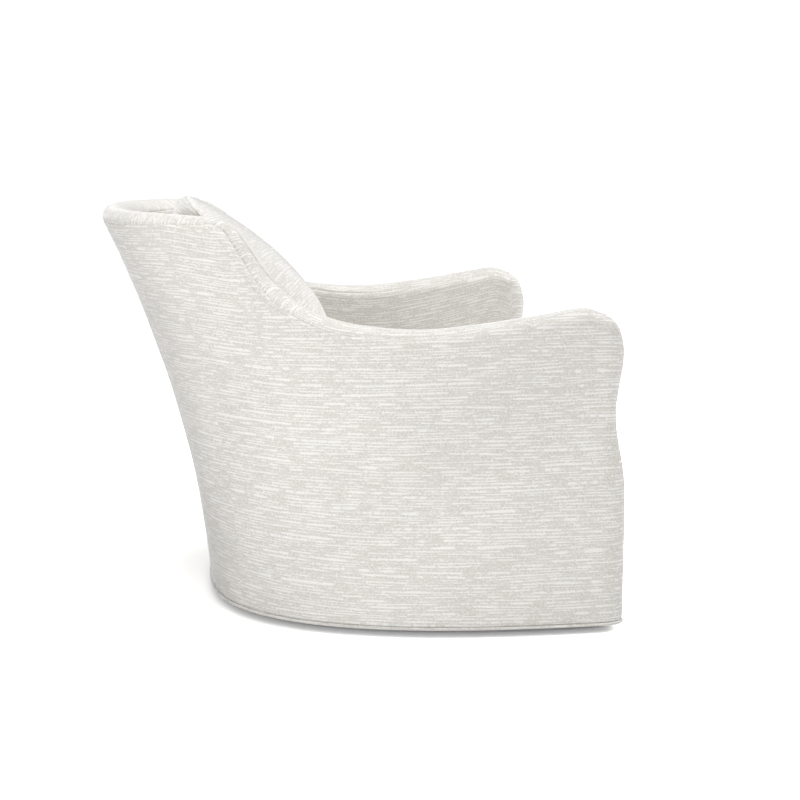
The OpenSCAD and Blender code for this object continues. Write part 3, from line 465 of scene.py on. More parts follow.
inner_stations = nose_in[::-1] + arm_st
inner_p = np.array([inside_column(st, True) for st in inner_stations])
inner_uv = cloth_map(inner_p, INSIDE_ARM_CUT, -1)
inner_uv[:, :, 0] = inner_uv[:, ROW_LEVEL:ROW_LEVEL + 1, 0]
inner_keep = np.ones((inner_p.shape[0] - 1, inner_p.shape[1] - 1), bool)
inner_keep[len(nose_in) - 1:, -(LOWER - 1):] = False
inner_tucks = [(*FIRST_ST, *FRONT_TUCK), (*LAST_ST, *CORNER_TUCK),
               (*FIRST_LEVEL, [seam_depth(st) for st in inner_stations], PANEL_TUCK_W)]
for side, left in SIDES:
    obj = upholstery("inside_arm_" + side, mirrored(inner_p) if left else inner_p, inner_uv, PANEL_T,
                     inner_tucks, "chair", ["inside_arm_cover_" + side], left,
                     soft=1.0, seed=19, keep=inner_keep)
    fabric_pieces.append(obj)
inside_p = np.array([inside_column(st, False) for st in back_st])
inside_tucks = [(*FIRST_ST, *CORNER_TUCK), (*LAST_ST, *CORNER_TUCK), (*FIRST_LEVEL, back_depth, PANEL_TUCK_W)]
obj = upholstery("inside_back", inside_p, cloth_map(inside_p, INSIDE_BACK_CUT, -1), PANEL_T, inside_tucks,
                 "chair", ["inside_back_cover"], False, soft=1.0, seed=23)
fabric_pieces.append(obj)

# Border band over the whole edge, from arm front to arm front. Its middle stands up between the seams,
# by a share of their depth
BAND_RISE = 0.55
band_half = [-0.199, -0.15, -0.09, -0.04] + arm_st
other_half = [180 - t for t in reversed(arm_st)]
band_st = band_half + back_st[1:-1] + other_half + band_half[3::-1]
TURNS = np.concatenate([[0, 0.015, 0.04], np.linspace(0.08, 0.92, 13), [0.96, 0.985, 1]])
band_cols = []
for k, st in enumerate(band_st):
    b = band_start(st)
    col = [edge_at(st, mix(b, 180 - b, s)) for s in TURNS]
    on_left_front = st < 0 and k > len(arm_st)
    band_cols.append([(-x, y, z) for x, y, z in col] if on_left_front else col)
band_p = np.array(band_cols)
band_uv = cloth_map(band_p)
band_uv[:, :, 0] = band_uv[:, len(TURNS) // 2, 0][:, None]
band_depth = np.array([seam_depth(st) for st in band_st])
crown = np.sin(np.pi * TURNS) ** 0.7
band = upholstery("rim_band", band_p, band_uv, BAND_T,
                  [(*FIRST_LEVEL, band_depth, BAND_TUCK_W), (*LAST_LEVEL, band_depth, BAND_TUCK_W)],
                  "chair", ["rim_band"], False,
                  rise=BAND_RISE * (band_depth - NOSE_SEAM)[:, None] * crown[None, :])
fabric_pieces.append(band)

# Front border under the seat cushion
BORDER_HALF = BODY_W / 2 - ARM_W + 1
border_x = np.linspace(-BORDER_HALF, BORDER_HALF, 60)
border_z = np.linspace(COVER_Z, DECK_Z, 26)
border_p = np.array([[(x, BORDER_Y, z) for z in border_z] for x in border_x])
border_tucks = [(*FIRST_ST, *BORDER_TUCK), (*LAST_ST, *BORDER_TUCK), (*LAST_LEVEL, *BORDER_TUCK)]
obj = upholstery("front_border", border_p, cloth_map(border_p, BORDER_CUT), BORDER_T, border_tucks, "chair",
                 ["front_border_cover", "front_padding"], False, soft=0.8)
fabric_pieces.append(obj)

# Deck cloth over the springs: rings that shrink towards its middle, where it sags
DECK_MIDDLE_Y, DECK_SAG, DECK_RINGS = -120, 3.0, 20
deck_rim = [plan(t, RAIL_Z, wall_w(t, RAIL_Z) + 1.0) for t in arm_st + back_st[1:-1] + other_half]
deck_rim += [(x, BORDER_Y + COVER_T) for x in np.linspace(deck_rim[-1][0], deck_rim[0][0], 16)[1:-1]]
deck_shares = np.linspace(0.02, 1, DECK_RINGS)
deck_rows = [[(x * s, mix(DECK_MIDDLE_Y, y, s), DECK_Z) for s in deck_shares]
             for x, y in deck_rim + deck_rim[:1]]
deck_p = np.array(deck_rows)
deck_p[:, :, 2] -= DECK_SAG * (1 - np.linspace(0, 1, DECK_RINGS) ** 2)[None, :]
deck_under = deck_p - np.array([0, 0, DECK_T])
deck = link("deck", closed_grid("deck", deck_p, deck_under, deck_p[:, :, :2] * MM, True), "chair",
            "deck_cloth", "deck_pad", slot_name="black_cloth")


def cord_faces(count, sides, base=0, flip=False):
    """The faces of a closed cord: count rings, each of as many vertices as the cord has sides."""
    faces = []
    for i in range(count):
        here, there = base + i * sides, base + (i + 1) % count * sides
        for k in range(sides):
            m = (k + 1) % sides
            if flip:
                faces.append((here + k, there + k, there + m, here + m))
            else:
                faces.append((here + k, here + m, there + m, there + k))
    return faces


def round_mesh(name, verts, faces):
    mesh = bpy.data.meshes.new(name)
    mesh.from_pydata(verts, [], faces)
    mesh.polygons.foreach_set("use_smooth", [True] * len(faces))
    return mesh


# Welt cord round the bottom edge: behind the border, round the arm's front and along the shell.
# It starts so far inside the border's end, and stands so far off the inside of the arm's front
WELT_START, WELT_OFF_X, WELT_OFF_Y = 24, 1.0, 1.5
# Its sides, how deep it is sunk in, and how much cloth each side takes, in metres
WELT_SIDES, WELT_SUNK, WELT_CLOTH = 10, 1.8, 0.0019
welt_z = SKIRT_Z + WELT_R
half = [(BORDER_HALF - WELT_START, BORDER_Y + WELT_R)]
for st in nose_in[4:-1]:
    x, y, _ = inside_at(st, 1, welt_z)
    half.append((x + WELT_OFF_X, y + WELT_OFF_Y))
half_back = [st for st in back_st[1:] if st <= 90]
for st in nose_out + arm_st + half_back:
    x, y, _ = outside_at(st, 0, welt_z)
    half.append((x, y))
path = [np.array(q) for q in half + [(-x, y) for x, y in reversed(half[:-1])]]
ahead = path[1:] + path[:1]
verts = []
for i, q in enumerate(path):
    along = ahead[i] - path[i - 1]
    along = along / max(np.linalg.norm(along), 1e-6)
    out = np.array([along[1], -along[0]])
    centre = q - out * (WELT_R - WELT_SUNK)
    for k in range(WELT_SIDES):
        a = 2 * math.pi * k / WELT_SIDES
        x, y = centre + out * math.cos(a) * WELT_R
        verts.append((x * MM, y * MM, (welt_z + math.sin(a) * WELT_R) * MM))
mesh = round_mesh("base_welt", verts, cord_faces(len(path), WELT_SIDES, flip=True))
run = np.concatenate([[0], np.cumsum([np.linalg.norm(b - a) for a, b in zip(path, ahead)])])
layer = mesh.uv_layers.new(name="UVMap")
for loop in mesh.loops:
    i, k = divmod(loop.vertex_index, WELT_SIDES)
    layer.data[loop.index].uv = (run[i] * MM, k * WELT_CLOTH)
welt = link("base_welt", mesh, "chair", "base_welt")
fabric_pieces.append(welt)

# Seat cushion and back pillow: stuffed forms, swollen by cloth simulation and held at their seams
SEAT_Z, CUSHION_H, FRONT_Y, REAR_Y = 315.5, 132.0, -440.0, 150.0
CUSHION_R, CUSHION_GAP, CUSHION_CROWN = 28, 1.5, 5.0
SEAT_HALF = BODY_W / 2 - ARM_W - CUSHION_GAP
MID_Y, HALF_D = (FRONT_Y + REAR_Y) / 2, (REAR_Y - FRONT_Y) / 2
# How far bottom, seams and top are drawn in from the outline, and how far the faces lie inside their form
BOTTOM_IN, SEAM_IN, TOP_IN, FACE_DIP = 2, 2.2, 5, 0.6
# The boxing as (drawn in, share of its height), its seams, and the shares that carry bottom and top
BOXING = [(4.5, 0.005), (1.2, 0.04), (5, 0.12), (9, 0.3), (10, 0.5), (9, 0.7), (5, 0.88), (1.2, 0.96),
          (4.5, 0.995)]
SEAM_LEVELS = (0.015, 0.985)
BOTTOM_SHARES, TOP_SHARES = (0.05, 0.25, 0.5, 0.75, 0.95), (0.96, 0.86, 0.7, 0.5, 0.3, 0.12)

PILLOW_Z, PILLOW_TOP = 462.1, 763.0
PILLOW_MID, PILLOW_HALF = (PILLOW_Z + PILLOW_TOP) / 2, (PILLOW_TOP - PILLOW_Z) / 2
PILLOW_SEAM_FOOT_Y, PILLOW_SEAM_Y, PILLOW_FOOT_Y = 60.0, 300.0, -11
PILLOW_LEAN, PILLOW_BEND, PILLOW_ROLL = 0.54, 0.0008, 70.0
PILLOW_GAP, PILLOW_TOUCH, PILLOW_CORNER = 1.2, 0.4, 0.56
# How full the faces are (powers of the share) and how far they start inside their form
FRONT_FULL, BACK_FULL, PILLOW_SLACK = 2.2, 5, 9
SHARES = [0.05, 0.2, 0.35, 0.5, 0.62, 0.72, 0.8, 0.87, 0.92, 0.955, 0.98, 0.994]
ANGLES = [2.5 * k + 1.25 for k in range(144)]


def loft_mesh(name, rings):
    """A closed mesh through rings of points in millimetres, capped by a point at each end."""
    n, m = len(rings[0]), len(rings)
    verts = [q for ring in rings for q in ring]
    verts += [tuple(np.mean(rings[0], axis=0)), tuple(np.mean(rings[-1], axis=0))]
    faces = []
    for i in range(m - 1):
        for j in range(n):
            k = (j + 1) % n
            faces.append((i * n + j, i * n + k, (i + 1) * n + k, (i + 1) * n + j))
    for j in range(n):
        k = (j + 1) % n
        faces += [(m * n, k, j), (m * n + 1, (m - 1) * n + j, (m - 1) * n + k)]
    mesh = bpy.data.meshes.new(name)
    mesh.from_pydata((np.array(verts) * MM).tolist(), [], faces)
    return mesh


def cushion_side(t):
    return plan(t, SEAT_Z, wall_w(t, SEAT_Z) + CUSHION_GAP)


def cushion_outline():
    """The cushion in plan: straight front, rounded corners, the arms' curve, and a straight rear."""
    low_t, high_t = 20.0, 90.0
    for _ in range(24):
        rear_t = (low_t + high_t) / 2
        if cushion_side(rear_t)[1] < REAR_Y:
            low_t = rear_t
        else:
            high_t = rear_t
    points = [(SEAT_HALF * s, FRONT_Y) for s in np.linspace(0.02, 0.9, 24)]
    for a in range(-84, 1, 12):
        c, s = math.cos(math.radians(a)), math.sin(math.radians(a))
        points.append((SEAT_HALF - CUSHION_R + CUSHION_R * c, FRONT_Y + CUSHION_R + CUSHION_R * s))
    points += [cushion_side(rear_t * (k / 36) ** 1.4) for k in range(1, 37)]
    points += [(cushion_side(rear_t)[0] * s, REAR_Y) for s in np.linspace(0.94, 0.02, 20)]
    return np.array(points + [(-x, y) for x, y in points[::-1]])


outline = cushion_outline()


def cushion_ring(inset, share, level):
    """A ring of the cushion: the outline drawn in by inset, times share, at level 0 to 1 of its height."""
    x = outline[:, 0] * share * (1 - inset / SEAT_HALF)
    y = MID_Y + (outline[:, 1] - MID_Y) * share * (1 - inset / HALF_D)
    return np.stack([x, y, np.full(len(x), SEAT_Z + CUSHION_H * level)], axis=1)


def crown_at(ring):
    """How far the crown of the top rises at each point of the ring."""
    u, v = ring[:, 0] / SEAT_HALF, (ring[:, 1] - MID_Y) / HALF_D
    return CUSHION_CROWN * np.clip(1 - u * u, 0, 1) * np.clip(1 - v ** 4, 0, 1)


rings = [cushion_ring(BOTTOM_IN, share, 0) for share in BOTTOM_SHARES]
for ring in rings:
    ring[:, 2] += FACE_DIP
rings += [cushion_ring(inset, 1, level) for inset, level in BOXING]
for share in TOP_SHARES:
    ring = cushion_ring(TOP_IN, share, 1)
    ring[:, 2] += crown_at(ring) - FACE_DIP
    rings.append(ring)
cushion_mesh = loft_mesh("seat_cushion", rings)
cushion_seams = [cushion_ring(SEAM_IN, 1, level) * MM for level in SEAM_LEVELS]


def pillow_seam(z):
    return mix(PILLOW_SEAM_FOOT_Y, PILLOW_SEAM_Y, (z - PILLOW_Z) / (PILLOW_TOP - PILLOW_Z))


def pillow_point(angle, share, front):
    """A point of the pillow: share 1 is its seam, 0 the middle of its front or back face."""
    a = math.radians(angle)
    high = signed_power(math.sin(a), PILLOW_CORNER) * PILLOW_HALF
    seam_z = PILLOW_MID + high
    gap = wall_w(90, seam_z) + PILLOW_GAP
    n = square_at(seam_z)
    seam = pillow_seam(seam_z)
    q = min((seam - ROOT_Y) / (reach(seam_z) - gap), 0.999)
    wide = (BODY_W / 2 - gap) * (1 - q ** n) ** (1 / n)
    x = share * signed_power(math.cos(a), PILLOW_CORNER) * wide
    z = PILLOW_MID + share * high
    if front:
        up = z - PILLOW_Z
        face = PILLOW_FOOT_Y + up * (PILLOW_LEAN + up * PILLOW_BEND) + PILLOW_SLACK
    else:
        roll = PILLOW_ROLL * max(z - PILLOW_MID, 0) / PILLOW_HALF
        face = plan_y(x, z, wall_w(90, z) + PILLOW_TOUCH) - roll - PILLOW_SLACK
    full = FRONT_FULL if front else BACK_FULL
    return (x, seam + (face - seam) * max(1 - share ** full, 0) ** 0.5, z)


rings = [[pillow_point(a, s, False) for a in ANGLES] for s in SHARES]
rings += [[pillow_point(a, 1, True) for a in ANGLES]]
rings += [[pillow_point(a, s, True) for a in ANGLES] for s in SHARES[::-1]]
pillow_mesh = loft_mesh("back_pillow", rings)
pillow_seams = [np.array(rings[len(SHARES)]) * MM]

# Cloth: what is pinned at a seam, how far the seams draw in, and the folds gathered there, in metres
PINNED, SEAM_REACH, FRAMES = 0.008, 0.06, 20
SEAM_PULL, SEAM_PULL_W = 0.0022, 0.0055
WAVE_EACH, WAVE_DEPTH, WRINKLE_EACH, WRINKLE_DEPTH = 8.0, 0.0014, 24.0, 0.0004
GATHER_EACH, GATHER_DEPTH, GATHER_FADE, GATHER_REACH = 42.0, 0.0016, 0.022, 0.055


def near_seams(p, seams, reach_m):
    """Distance of each point from the nearest seam, up to reach_m, and how far along that seam it is."""
    far = np.full(len(p), reach_m)
    along = np.zeros(len(p))
    for seam in seams:
        step = np.linalg.norm(np.roll(seam, -1, axis=0) - seam, axis=1)
        run = np.cumsum(step)
        for k in range(len(seam)):
            a, b = seam[k], seam[(k + 1) % len(seam)]
            t = np.clip(((p - a) @ (b - a)) / max((b - a) @ (b - a), 1e-12), 0, 1)
            d = np.linalg.norm(p - a - t[:, None] * (b - a), axis=1)
            hit = d < far
            far[hit] = d[hit]
            along[hit] = run[k] - step[k] * (1 - t[hit])
    return far, along


def vertex_values(mesh, what):
    values = np.empty(len(mesh.vertices) * 3)
    mesh.vertices.foreach_get(what, values)
    return values.reshape(-1, 3)


def place_vertices(mesh, points):
    mesh.vertices.foreach_set("co", points.ravel())
    mesh.update()


def swell_by_cloth(obj, pinned, pressure, cap):
    """Blows the piece up under pressure, its pinned vertices held and no vertex moved by more than cap."""
    start = vertex_values(obj.data, "co")
    group = obj.vertex_groups.new(name="seams")
    for i in pinned:
        group.add([int(i)], 1.0, "REPLACE")
    cloth = obj.modifiers.new("cloth", "CLOTH")
    cloth.settings.quality = 5
    cloth.settings.mass = 0.3
    cloth.settings.tension_stiffness = cloth.settings.compression_stiffness = 12
    cloth.settings.shear_stiffness = 6
    cloth.settings.bending_stiffness = 0.6
    cloth.settings.use_pressure = True
    cloth.settings.uniform_pressure_force = pressure
    cloth.settings.vertex_group_mass = "seams"
    cloth.settings.effector_weights.gravity = 0.0
    cloth.collision_settings.use_collision = False
    cloth.point_cache.frame_start, cloth.point_cache.frame_end = 1, FRAMES
    for f in range(1, FRAMES + 1):
        scene.frame_set(f)
    bpy.ops.object.modifier_apply(modifier="cloth")
    scene.frame_set(1)
    move = vertex_values(obj.data, "co") - start
    length = np.linalg.norm(move, axis=1, keepdims=True)
    place_vertices(obj.data, start + move * np.minimum(1, cap / np.maximum(length, 1e-9)))


def wrinkle(mesh, far, along, seed):
    """Draws the seams in, and gives the faces their slight waves and the folds gathered at the seams."""
    normals = vertex_values(mesh, "normal")
    co = vertex_values(mesh, "co")
    pull = SEAM_PULL * np.exp(-((far / SEAM_PULL_W) ** 1.6))
    for i in range(len(co)):
        q = Vector(co[i])
        w = noise.noise(q * WAVE_EACH + Vector((seed, 0, 0))) * WAVE_DEPTH
        w += noise.noise(q * WRINKLE_EACH) * WRINKLE_DEPTH
        if far[i] < GATHER_REACH:
            gather = noise.noise(Vector((along[i] * GATHER_EACH, seed, 0.0)))
            w -= GATHER_DEPTH * max(gather, 0.0) * math.exp(-far[i] / GATHER_FADE)
        co[i] += normals[i] * (w - pull[i])
    place_vertices(mesh, co)


def stuffed(name, mesh, seams, body, nodes, voxel, cap, pressure, seed):
    """A padded piece that starts a little slack, is held at its seams and swells between them."""
    obj = bpy.data.objects.new(name, mesh)
    scene.collection.objects.link(obj)
    bpy.context.view_layer.objects.active = obj
    for o in bpy.context.selected_objects:
        o.select_set(False)
    obj.select_set(True)
    remesh = obj.modifiers.new("remesh", "REMESH")
    remesh.mode, remesh.voxel_size = "VOXEL", voxel
    bpy.ops.object.modifier_apply(modifier="remesh")
    far, along = near_seams(vertex_values(obj.data, "co"), seams, SEAM_REACH)
    swell_by_cloth(obj, np.nonzero(far < PINNED)[0], pressure, cap)
    wrinkle(obj.data, far, along, seed)
    smooth = obj.modifiers.new("finer", "SUBSURF")
    smooth.levels = smooth.render_levels = 1
    bpy.ops.object.modifier_apply(modifier="finer")
    obj.data.polygons.foreach_set("use_smooth", [True] * len(obj.data.polygons))
    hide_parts(*nodes)
    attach(obj, body)
    return obj


def seam_cord(name, obj, seams, body, radius, lift):
    """The closed seams of a stuffed piece: a fine ridge that follows its surface."""
    surface = BVHTree.FromPolygons([v.co for v in obj.data.vertices],
                                   [list(q.vertices) for q in obj.data.polygons])
    verts, faces, sides = [], [], 8
    for seam in seams:
        centre = Vector(seam.mean(axis=0))
        points = []
        for q in seam:
            at, normal, _, _ = surface.find_nearest(Vector(q))
            points.append(at + normal * lift)
        base, n = len(verts), len(points)
        for i, q in enumerate(points):
            along_v = (points[(i + 1) % n] - points[i - 1]).normalized()
            up_v = along_v.cross((q - centre).normalized()).normalized()
            out_v = up_v.cross(along_v).normalized()
            for k in range(sides):
                a = 2 * math.pi * k / sides
                verts.append(q + (out_v * math.cos(a) + up_v * math.sin(a)) * radius)
        faces += cord_faces(n, sides, base)
    return link(name, round_mesh(name, verts, faces), body)


cushion = stuffed("seat_cushion", cushion_mesh, cushion_seams, "seat_cushion",
                  ["seat_cushion_cover", "seat_cushion_core"], voxel=0.007, cap=0.009, pressure=3.0, seed=5)
pillow = stuffed("back_pillow", pillow_mesh, pillow_seams, "back_pillow",
                 ["back_pillow_cover", "back_pillow_core"], voxel=0.006, cap=0.010, pressure=3.0, seed=9)
cushion_ridge = seam_cord("seat_cushion_seams", cushion, cushion_seams, "seat_cushion", 0.0013, 0.0004)
pillow_ridge = seam_cord("back_pillow_seam", pillow, pillow_seams, "back_pillow", 0.0013, 0.0006)


# Materials

class Nodes:
    """Short names for making shader nodes, in a new material or in the world."""

    def __init__(self, holder):
        self.holder = holder
        holder.use_nodes = True
        self.tree = holder.node_tree
        self.tree.nodes.clear()

    def put(self, kind, **values):
        node = self.tree.nodes.new(kind)
        for key, value in values.items():
            setattr(node, key, value)
        return node

    def wire(self, value, socket):
        if isinstance(value, bpy.types.NodeSocket):
            self.tree.links.new(value, socket)
        else:
            socket.default_value = value

    def math(self, op, a, b=0.0):
        node = self.put("ShaderNodeMath", operation=op)
        self.wire(a, node.inputs[0])
        self.wire(b, node.inputs[1])
        return node.outputs[0]

    def times(self, value, by):
        return self.math("MULTIPLY", value, by)

    def centred(self, value, by):
        """A noise about zero, by wide."""
        return self.times(self.math("SUBTRACT", value, 0.5), by)

    def either(self, share, a, b):
        """The value a where share is 1, and b where it is 0."""
        return self.math("ADD", self.times(a, share), self.times(b, self.math("SUBTRACT", 1.0, share)))

    def vector(self, x, y, z=0.0):
        node = self.put("ShaderNodeCombineXYZ")
        for value, socket in zip((x, y, z), node.inputs):
            self.wire(value, socket)
        return node.outputs[0]

    def dot(self, vector, x, y, z):
        node = self.put("ShaderNodeVectorMath", operation="DOT_PRODUCT")
        self.wire(vector, node.inputs[0])
        node.inputs[1].default_value = (x, y, z)
        return node.outputs["Value"]

    def noise(self, vector, scale, detail=1.0, rough=0.5):
        node = self.put("ShaderNodeTexNoise")
        self.wire(vector, node.inputs["Vector"])
        node.inputs["Scale"].default_value = scale
        node.inputs["Detail"].default_value = detail
        node.inputs["Roughness"].default_value = rough
        return node.outputs["Fac"]

    def step(self, value, low, high, to_low=0.0, to_high=1.0):
        node = self.put("ShaderNodeMapRange", interpolation_type="SMOOTHSTEP")
        self.wire(value, node.inputs["Value"])
        ends = (("From Min", low), ("From Max", high), ("To Min", to_low), ("To Max", to_high))
        for key, end in ends:
            self.wire(end, node.inputs[key])
        return node.outputs["Result"]

    def blend(self, fac, a, b):
        node = self.put("ShaderNodeMix", data_type="RGBA")
        self.wire(fac, node.inputs[0])
        self.wire(a, node.inputs[6])
        self.wire(b, node.inputs[7])
        return node.outputs[2]

    def seen(self):
        """1 for rays of the camera, of mirrors and of glass, and 0 for rays that carry light."""
        ray = self.put("ShaderNodeLightPath").outputs
        bent = self.math("MAXIMUM", ray["Is Glossy Ray"], ray["Is Transmission Ray"])
        return self.math("MAXIMUM", ray["Is Camera Ray"], bent)

    def surface(self, color, height, strength, distance, **values):
        """Ends the material: a shader of this colour, with bumps where height says."""
        shader = self.put("ShaderNodeBsdfPrincipled")
        self.wire(color, shader.inputs["Base Color"])
        for key, value in values.items():
            shader.inputs[key.replace("_", " ")].default_value = value
        bump = self.put("ShaderNodeBump")
        self.wire(height, bump.inputs["Height"])
        bump.inputs["Strength"].default_value = strength
        bump.inputs["Distance"].default_value = distance
        self.wire(bump.outputs[0], shader.inputs["Normal"])
        self.end("ShaderNodeOutputMaterial", shader)
        return self.holder

    def end(self, kind, shader):
        self.wire(shader.outputs[0], self.put(kind).inputs["Surface"])


# The weave: height of a row in metres, and its colours
PITCH = 0.0058
YARN = (0.880, 0.872, 0.848, 1)
GROUND = (0.715, 0.702, 0.668, 1)
FLECK = (0.845, 0.835, 0.808, 1)
SHADE = (0.555, 0.535, 0.495, 1)
WARM = (0.640, 0.575, 0.500, 1)
# How far its rows drift over the cloth, wander, and fray, in metres
DRIFT, WANDER, FRAY = 0.015, 0.0026, 0.0020
# Sheen: its weight and how broad it is, on the covers and on the softer pillow
SHEEN, PILLOW_SHEEN = (0.75, 0.32), (0.85, 0.45)


def weave(n, u, v):
    """The cover's weave: loose rows of pale yarn, broken into dashes. Gives the yarn's share.
    u runs along the rows and v across them, in metres. Noise that is finer in v than in u makes streaks."""
    # The rows leave their level
    drift = n.centred(n.noise(n.vector(n.times(u, 3.0), n.times(v, 52.0)), 1.0), DRIFT)
    wander = n.centred(n.noise(n.vector(n.times(u, 16.0), n.times(v, 105.0), 4.0), 1.0), WANDER)
    fray = n.centred(n.noise(n.vector(u, v, 3.0), 560.0, 1.0), FRAY)
    moved = n.math("ADD", n.math("ADD", v, drift), n.math("ADD", wander, fray))
    # Which row a point lies in, and how far up that row
    level_v = n.math("DIVIDE", moved, PITCH)
    row = n.math("FLOOR", level_v)
    part = n.math("SUBTRACT", level_v, row)
    # Along the row the yarn comes and goes in dashes, bright or faint, which cluster
    dash = n.noise(n.vector(n.times(u, 24.0), n.times(row, 7.31)), 1.0, 3.0, 0.62)
    cluster = n.noise(n.vector(n.times(u, 9.0), n.times(v, 75.0)), 1.0, 2.0, 0.6)
    level = n.math("ADD", dash, n.centred(cluster, 0.16))
    bright, faint = n.step(level, 0.470, 0.505), n.step(level, 0.36, 0.47, 0.0, 0.34)
    along = n.math("MAXIMUM", bright, faint)
    # Across the row it fades out at its half width, which changes from place to place
    half = n.step(n.noise(n.vector(n.times(u, 30.0), n.times(row, 3.17), 9.0), 1.0), 0.3, 0.7, 0.15, 0.29)
    off = n.math("ABSOLUTE", n.math("SUBTRACT", part, 0.5))
    body = n.step(n.math("SUBTRACT", off, half), -0.08, 0.12, 1.0, 0.0)
    return n.times(along, body)


def woven_by_map(n):
    """Rows by the panel's own map."""
    place = n.put("ShaderNodeUVMap", uv_map="UVMap").outputs[0]
    return place, weave(n, n.dot(place, 1, 0, 0), n.dot(place, 0, 1, 0))


def woven_band(n):
    """Rows along the band on the arms, and across it on the wings and the back."""
    place = n.put("ShaderNodeUVMap", uv_map="UVMap").outputs[0]
    u, v = n.dot(place, 1, 0, 0), n.dot(place, 0, 1, 0)
    turn = n.put("ShaderNodeAttribute", attribute_name="across").outputs["Fac"]
    return place, n.either(turn, weave(n, v, u), weave(n, u, v))


def woven_cushion(n):
    """Level rows on the boxing, and rows from side to side on the top."""
    coord = n.put("ShaderNodeTexCoord").outputs
    place = coord["Object"]
    flat = n.step(n.math("ABSOLUTE", n.dot(coord["Normal"], 0, 0, 1)), 0.62, 0.66)
    side = weave(n, n.dot(place, 1, 1, 0), n.dot(place, 0, 0, 1))
    top = weave(n, n.dot(place, 1, 0, 0), n.dot(place, 0, 1, 0))
    return place, n.either(flat, top, side)


def woven_pillow(n):
    """Rows bowed over the leaning front face, and rows from side to side on the back face."""
    coord = n.put("ShaderNodeTexCoord").outputs
    place = coord["Object"]
    across = n.dot(place, 1, 0, 0)
    bowed = n.times(n.math("SQRT", n.math("ADD", n.times(across, across), 0.0025)), 0.22)
    # The front face leans back, and the back face leans forward
    up_front = n.math("SUBTRACT", n.dot(place, 0, 0.79, 0.56), bowed)
    front = weave(n, n.dot(place, 1, -0.56, 0.79), up_front)
    rear = weave(n, n.dot(place, 1, 0.2, 0.2), n.dot(place, 0, -0.6, 0.8))
    behind = n.step(n.dot(coord["Normal"], 0, 0.93, -0.36), -0.02, 0.02)
    return place, n.either(behind, rear, front)


def fabric(name, woven, sheen=SHEEN):
    """Woven upholstery. woven says how its rows lie: it gives the place on the cloth and the yarn's share."""
    n = Nodes(bpy.data.materials.new(name))
    place, mask = woven(n)
    speck = n.noise(place, 430.0, 2.0, 0.8)
    blot = n.noise(place, 230.0, 2.0, 0.7)
    warm = n.noise(place, 300.0, 1.0, 0.5)
    # The ground is speckled, with pale flecks and warm fibres, and the yarn lies over it
    color = n.blend(n.step(speck, 0.36, 0.64), SHADE, GROUND)
    color = n.blend(n.step(blot, 0.46, 0.68, 0.0, 0.75), color, FLECK)
    color = n.blend(n.step(warm, 0.56, 0.66, 0.0, 0.62), color, WARM)
    yarn = n.blend(n.step(speck, 0.30, 0.55), GROUND, YARN)
    color = n.blend(n.times(mask, 0.92), color, yarn)
    # Its brightness changes a little over the whole piece
    tone = n.put("ShaderNodeHueSaturation")
    n.wire(color, tone.inputs["Color"])
    n.wire(n.step(n.noise(place, 4.0, 2.0), 0.3, 0.7, 0.975, 1.02), tone.inputs["Value"])
    height = n.math("ADD", n.times(mask, 0.8), n.times(speck, 0.45))
    return n.surface(tone.outputs[0], height, 0.30, 0.0011, Roughness=0.95, Specular_IOR_Level=0.15,
                     Sheen_Weight=sheen[0], Sheen_Roughness=sheen[1])


def plain(name, color, rough, metal=0.0, scale=60.0, change=0.12, stretch=(1, 1, 1), bump_by=0.1):
    """A material with a grain: its colour and surface vary with a stretched noise."""
    n = Nodes(bpy.data.materials.new(name))
    mapping = n.put("ShaderNodeMapping")
    n.wire(n.put("ShaderNodeTexCoord").outputs["Object"], mapping.inputs["Vector"])
    mapping.inputs["Scale"].default_value = stretch
    grain = n.noise(mapping.outputs[0], scale, 4.0, 0.6)
    dark = tuple(c * (1 - change) for c in color) + (1,)
    light = tuple(min(c * (1 + change), 1) for c in color) + (1,)
    shade = n.blend(n.step(grain, 0.3, 0.7), dark, light)
    return n.surface(shade, grain, bump_by, 0.001, Roughness=rough, Metallic=metal)


def paint(obj, material):
    obj.data.materials.clear()
    obj.data.materials.append(material)


linen = fabric("linen_weave", woven_by_map)
linen_band = fabric("linen_band", woven_band)
linen_cushion = fabric("linen_cushion", woven_cushion)
linen_pillow = fabric("linen_pillow", woven_pillow, PILLOW_SHEEN)
beech = plain("beech", (0.52, 0.36, 0.22), 0.6, scale=30, change=0.2, stretch=(1, 1, 6))
birch = plain("birch_plywood", (0.62, 0.47, 0.29), 0.6, scale=25, change=0.15, stretch=(1, 1, 8))
steel = plain("plated_steel", (0.55, 0.57, 0.59), 0.35, metal=1.0, scale=200, change=0.06)
nylon = plain("nylon", (0.03, 0.03, 0.032), 0.5, scale=300, change=0.2)
black_cloth = plain("black_cloth", (0.035, 0.035, 0.037), 0.9, scale=900, change=0.5, bump_by=0.5)
foam = plain("foam", (0.80, 0.72, 0.45), 0.95, scale=500, change=0.1, bump_by=0.5)

for obj in fabric_pieces:
    paint(obj, linen)
paint(band, linen_band)
paint(deck, black_cloth)
for obj in (cushion, cushion_ridge):
    paint(obj, linen_cushion)
for obj in (pillow, pillow_ridge):
    paint(obj, linen_pillow)

# The band's rows turn across it at the foot of the wing, from one station to another
TURN_FROM, TURN_TO = 31, 36
across = band.data.attributes.new("across", "FLOAT", "POINT")
turned = []
for st in band_st:
    turned += [ramp(half_station(max(st, 0)), TURN_FROM, TURN_TO)] * len(TURNS)
across.data.foreach_set("value", turned * 2)

by_slot = {"beech": beech, "birch_plywood": birch, "plated_steel": steel, "nylon": nylon,
           "black_cloth": black_cloth, "foam": foam, "wadding": foam, "linen": linen}
slots = {s["node"]: s["material_slot"] for s in frame["record"]["subparts"]}
for name, obj in frame["nodes"].items():
    for slot in obj.material_slots:
        slot.material = by_slot[slots[name]]

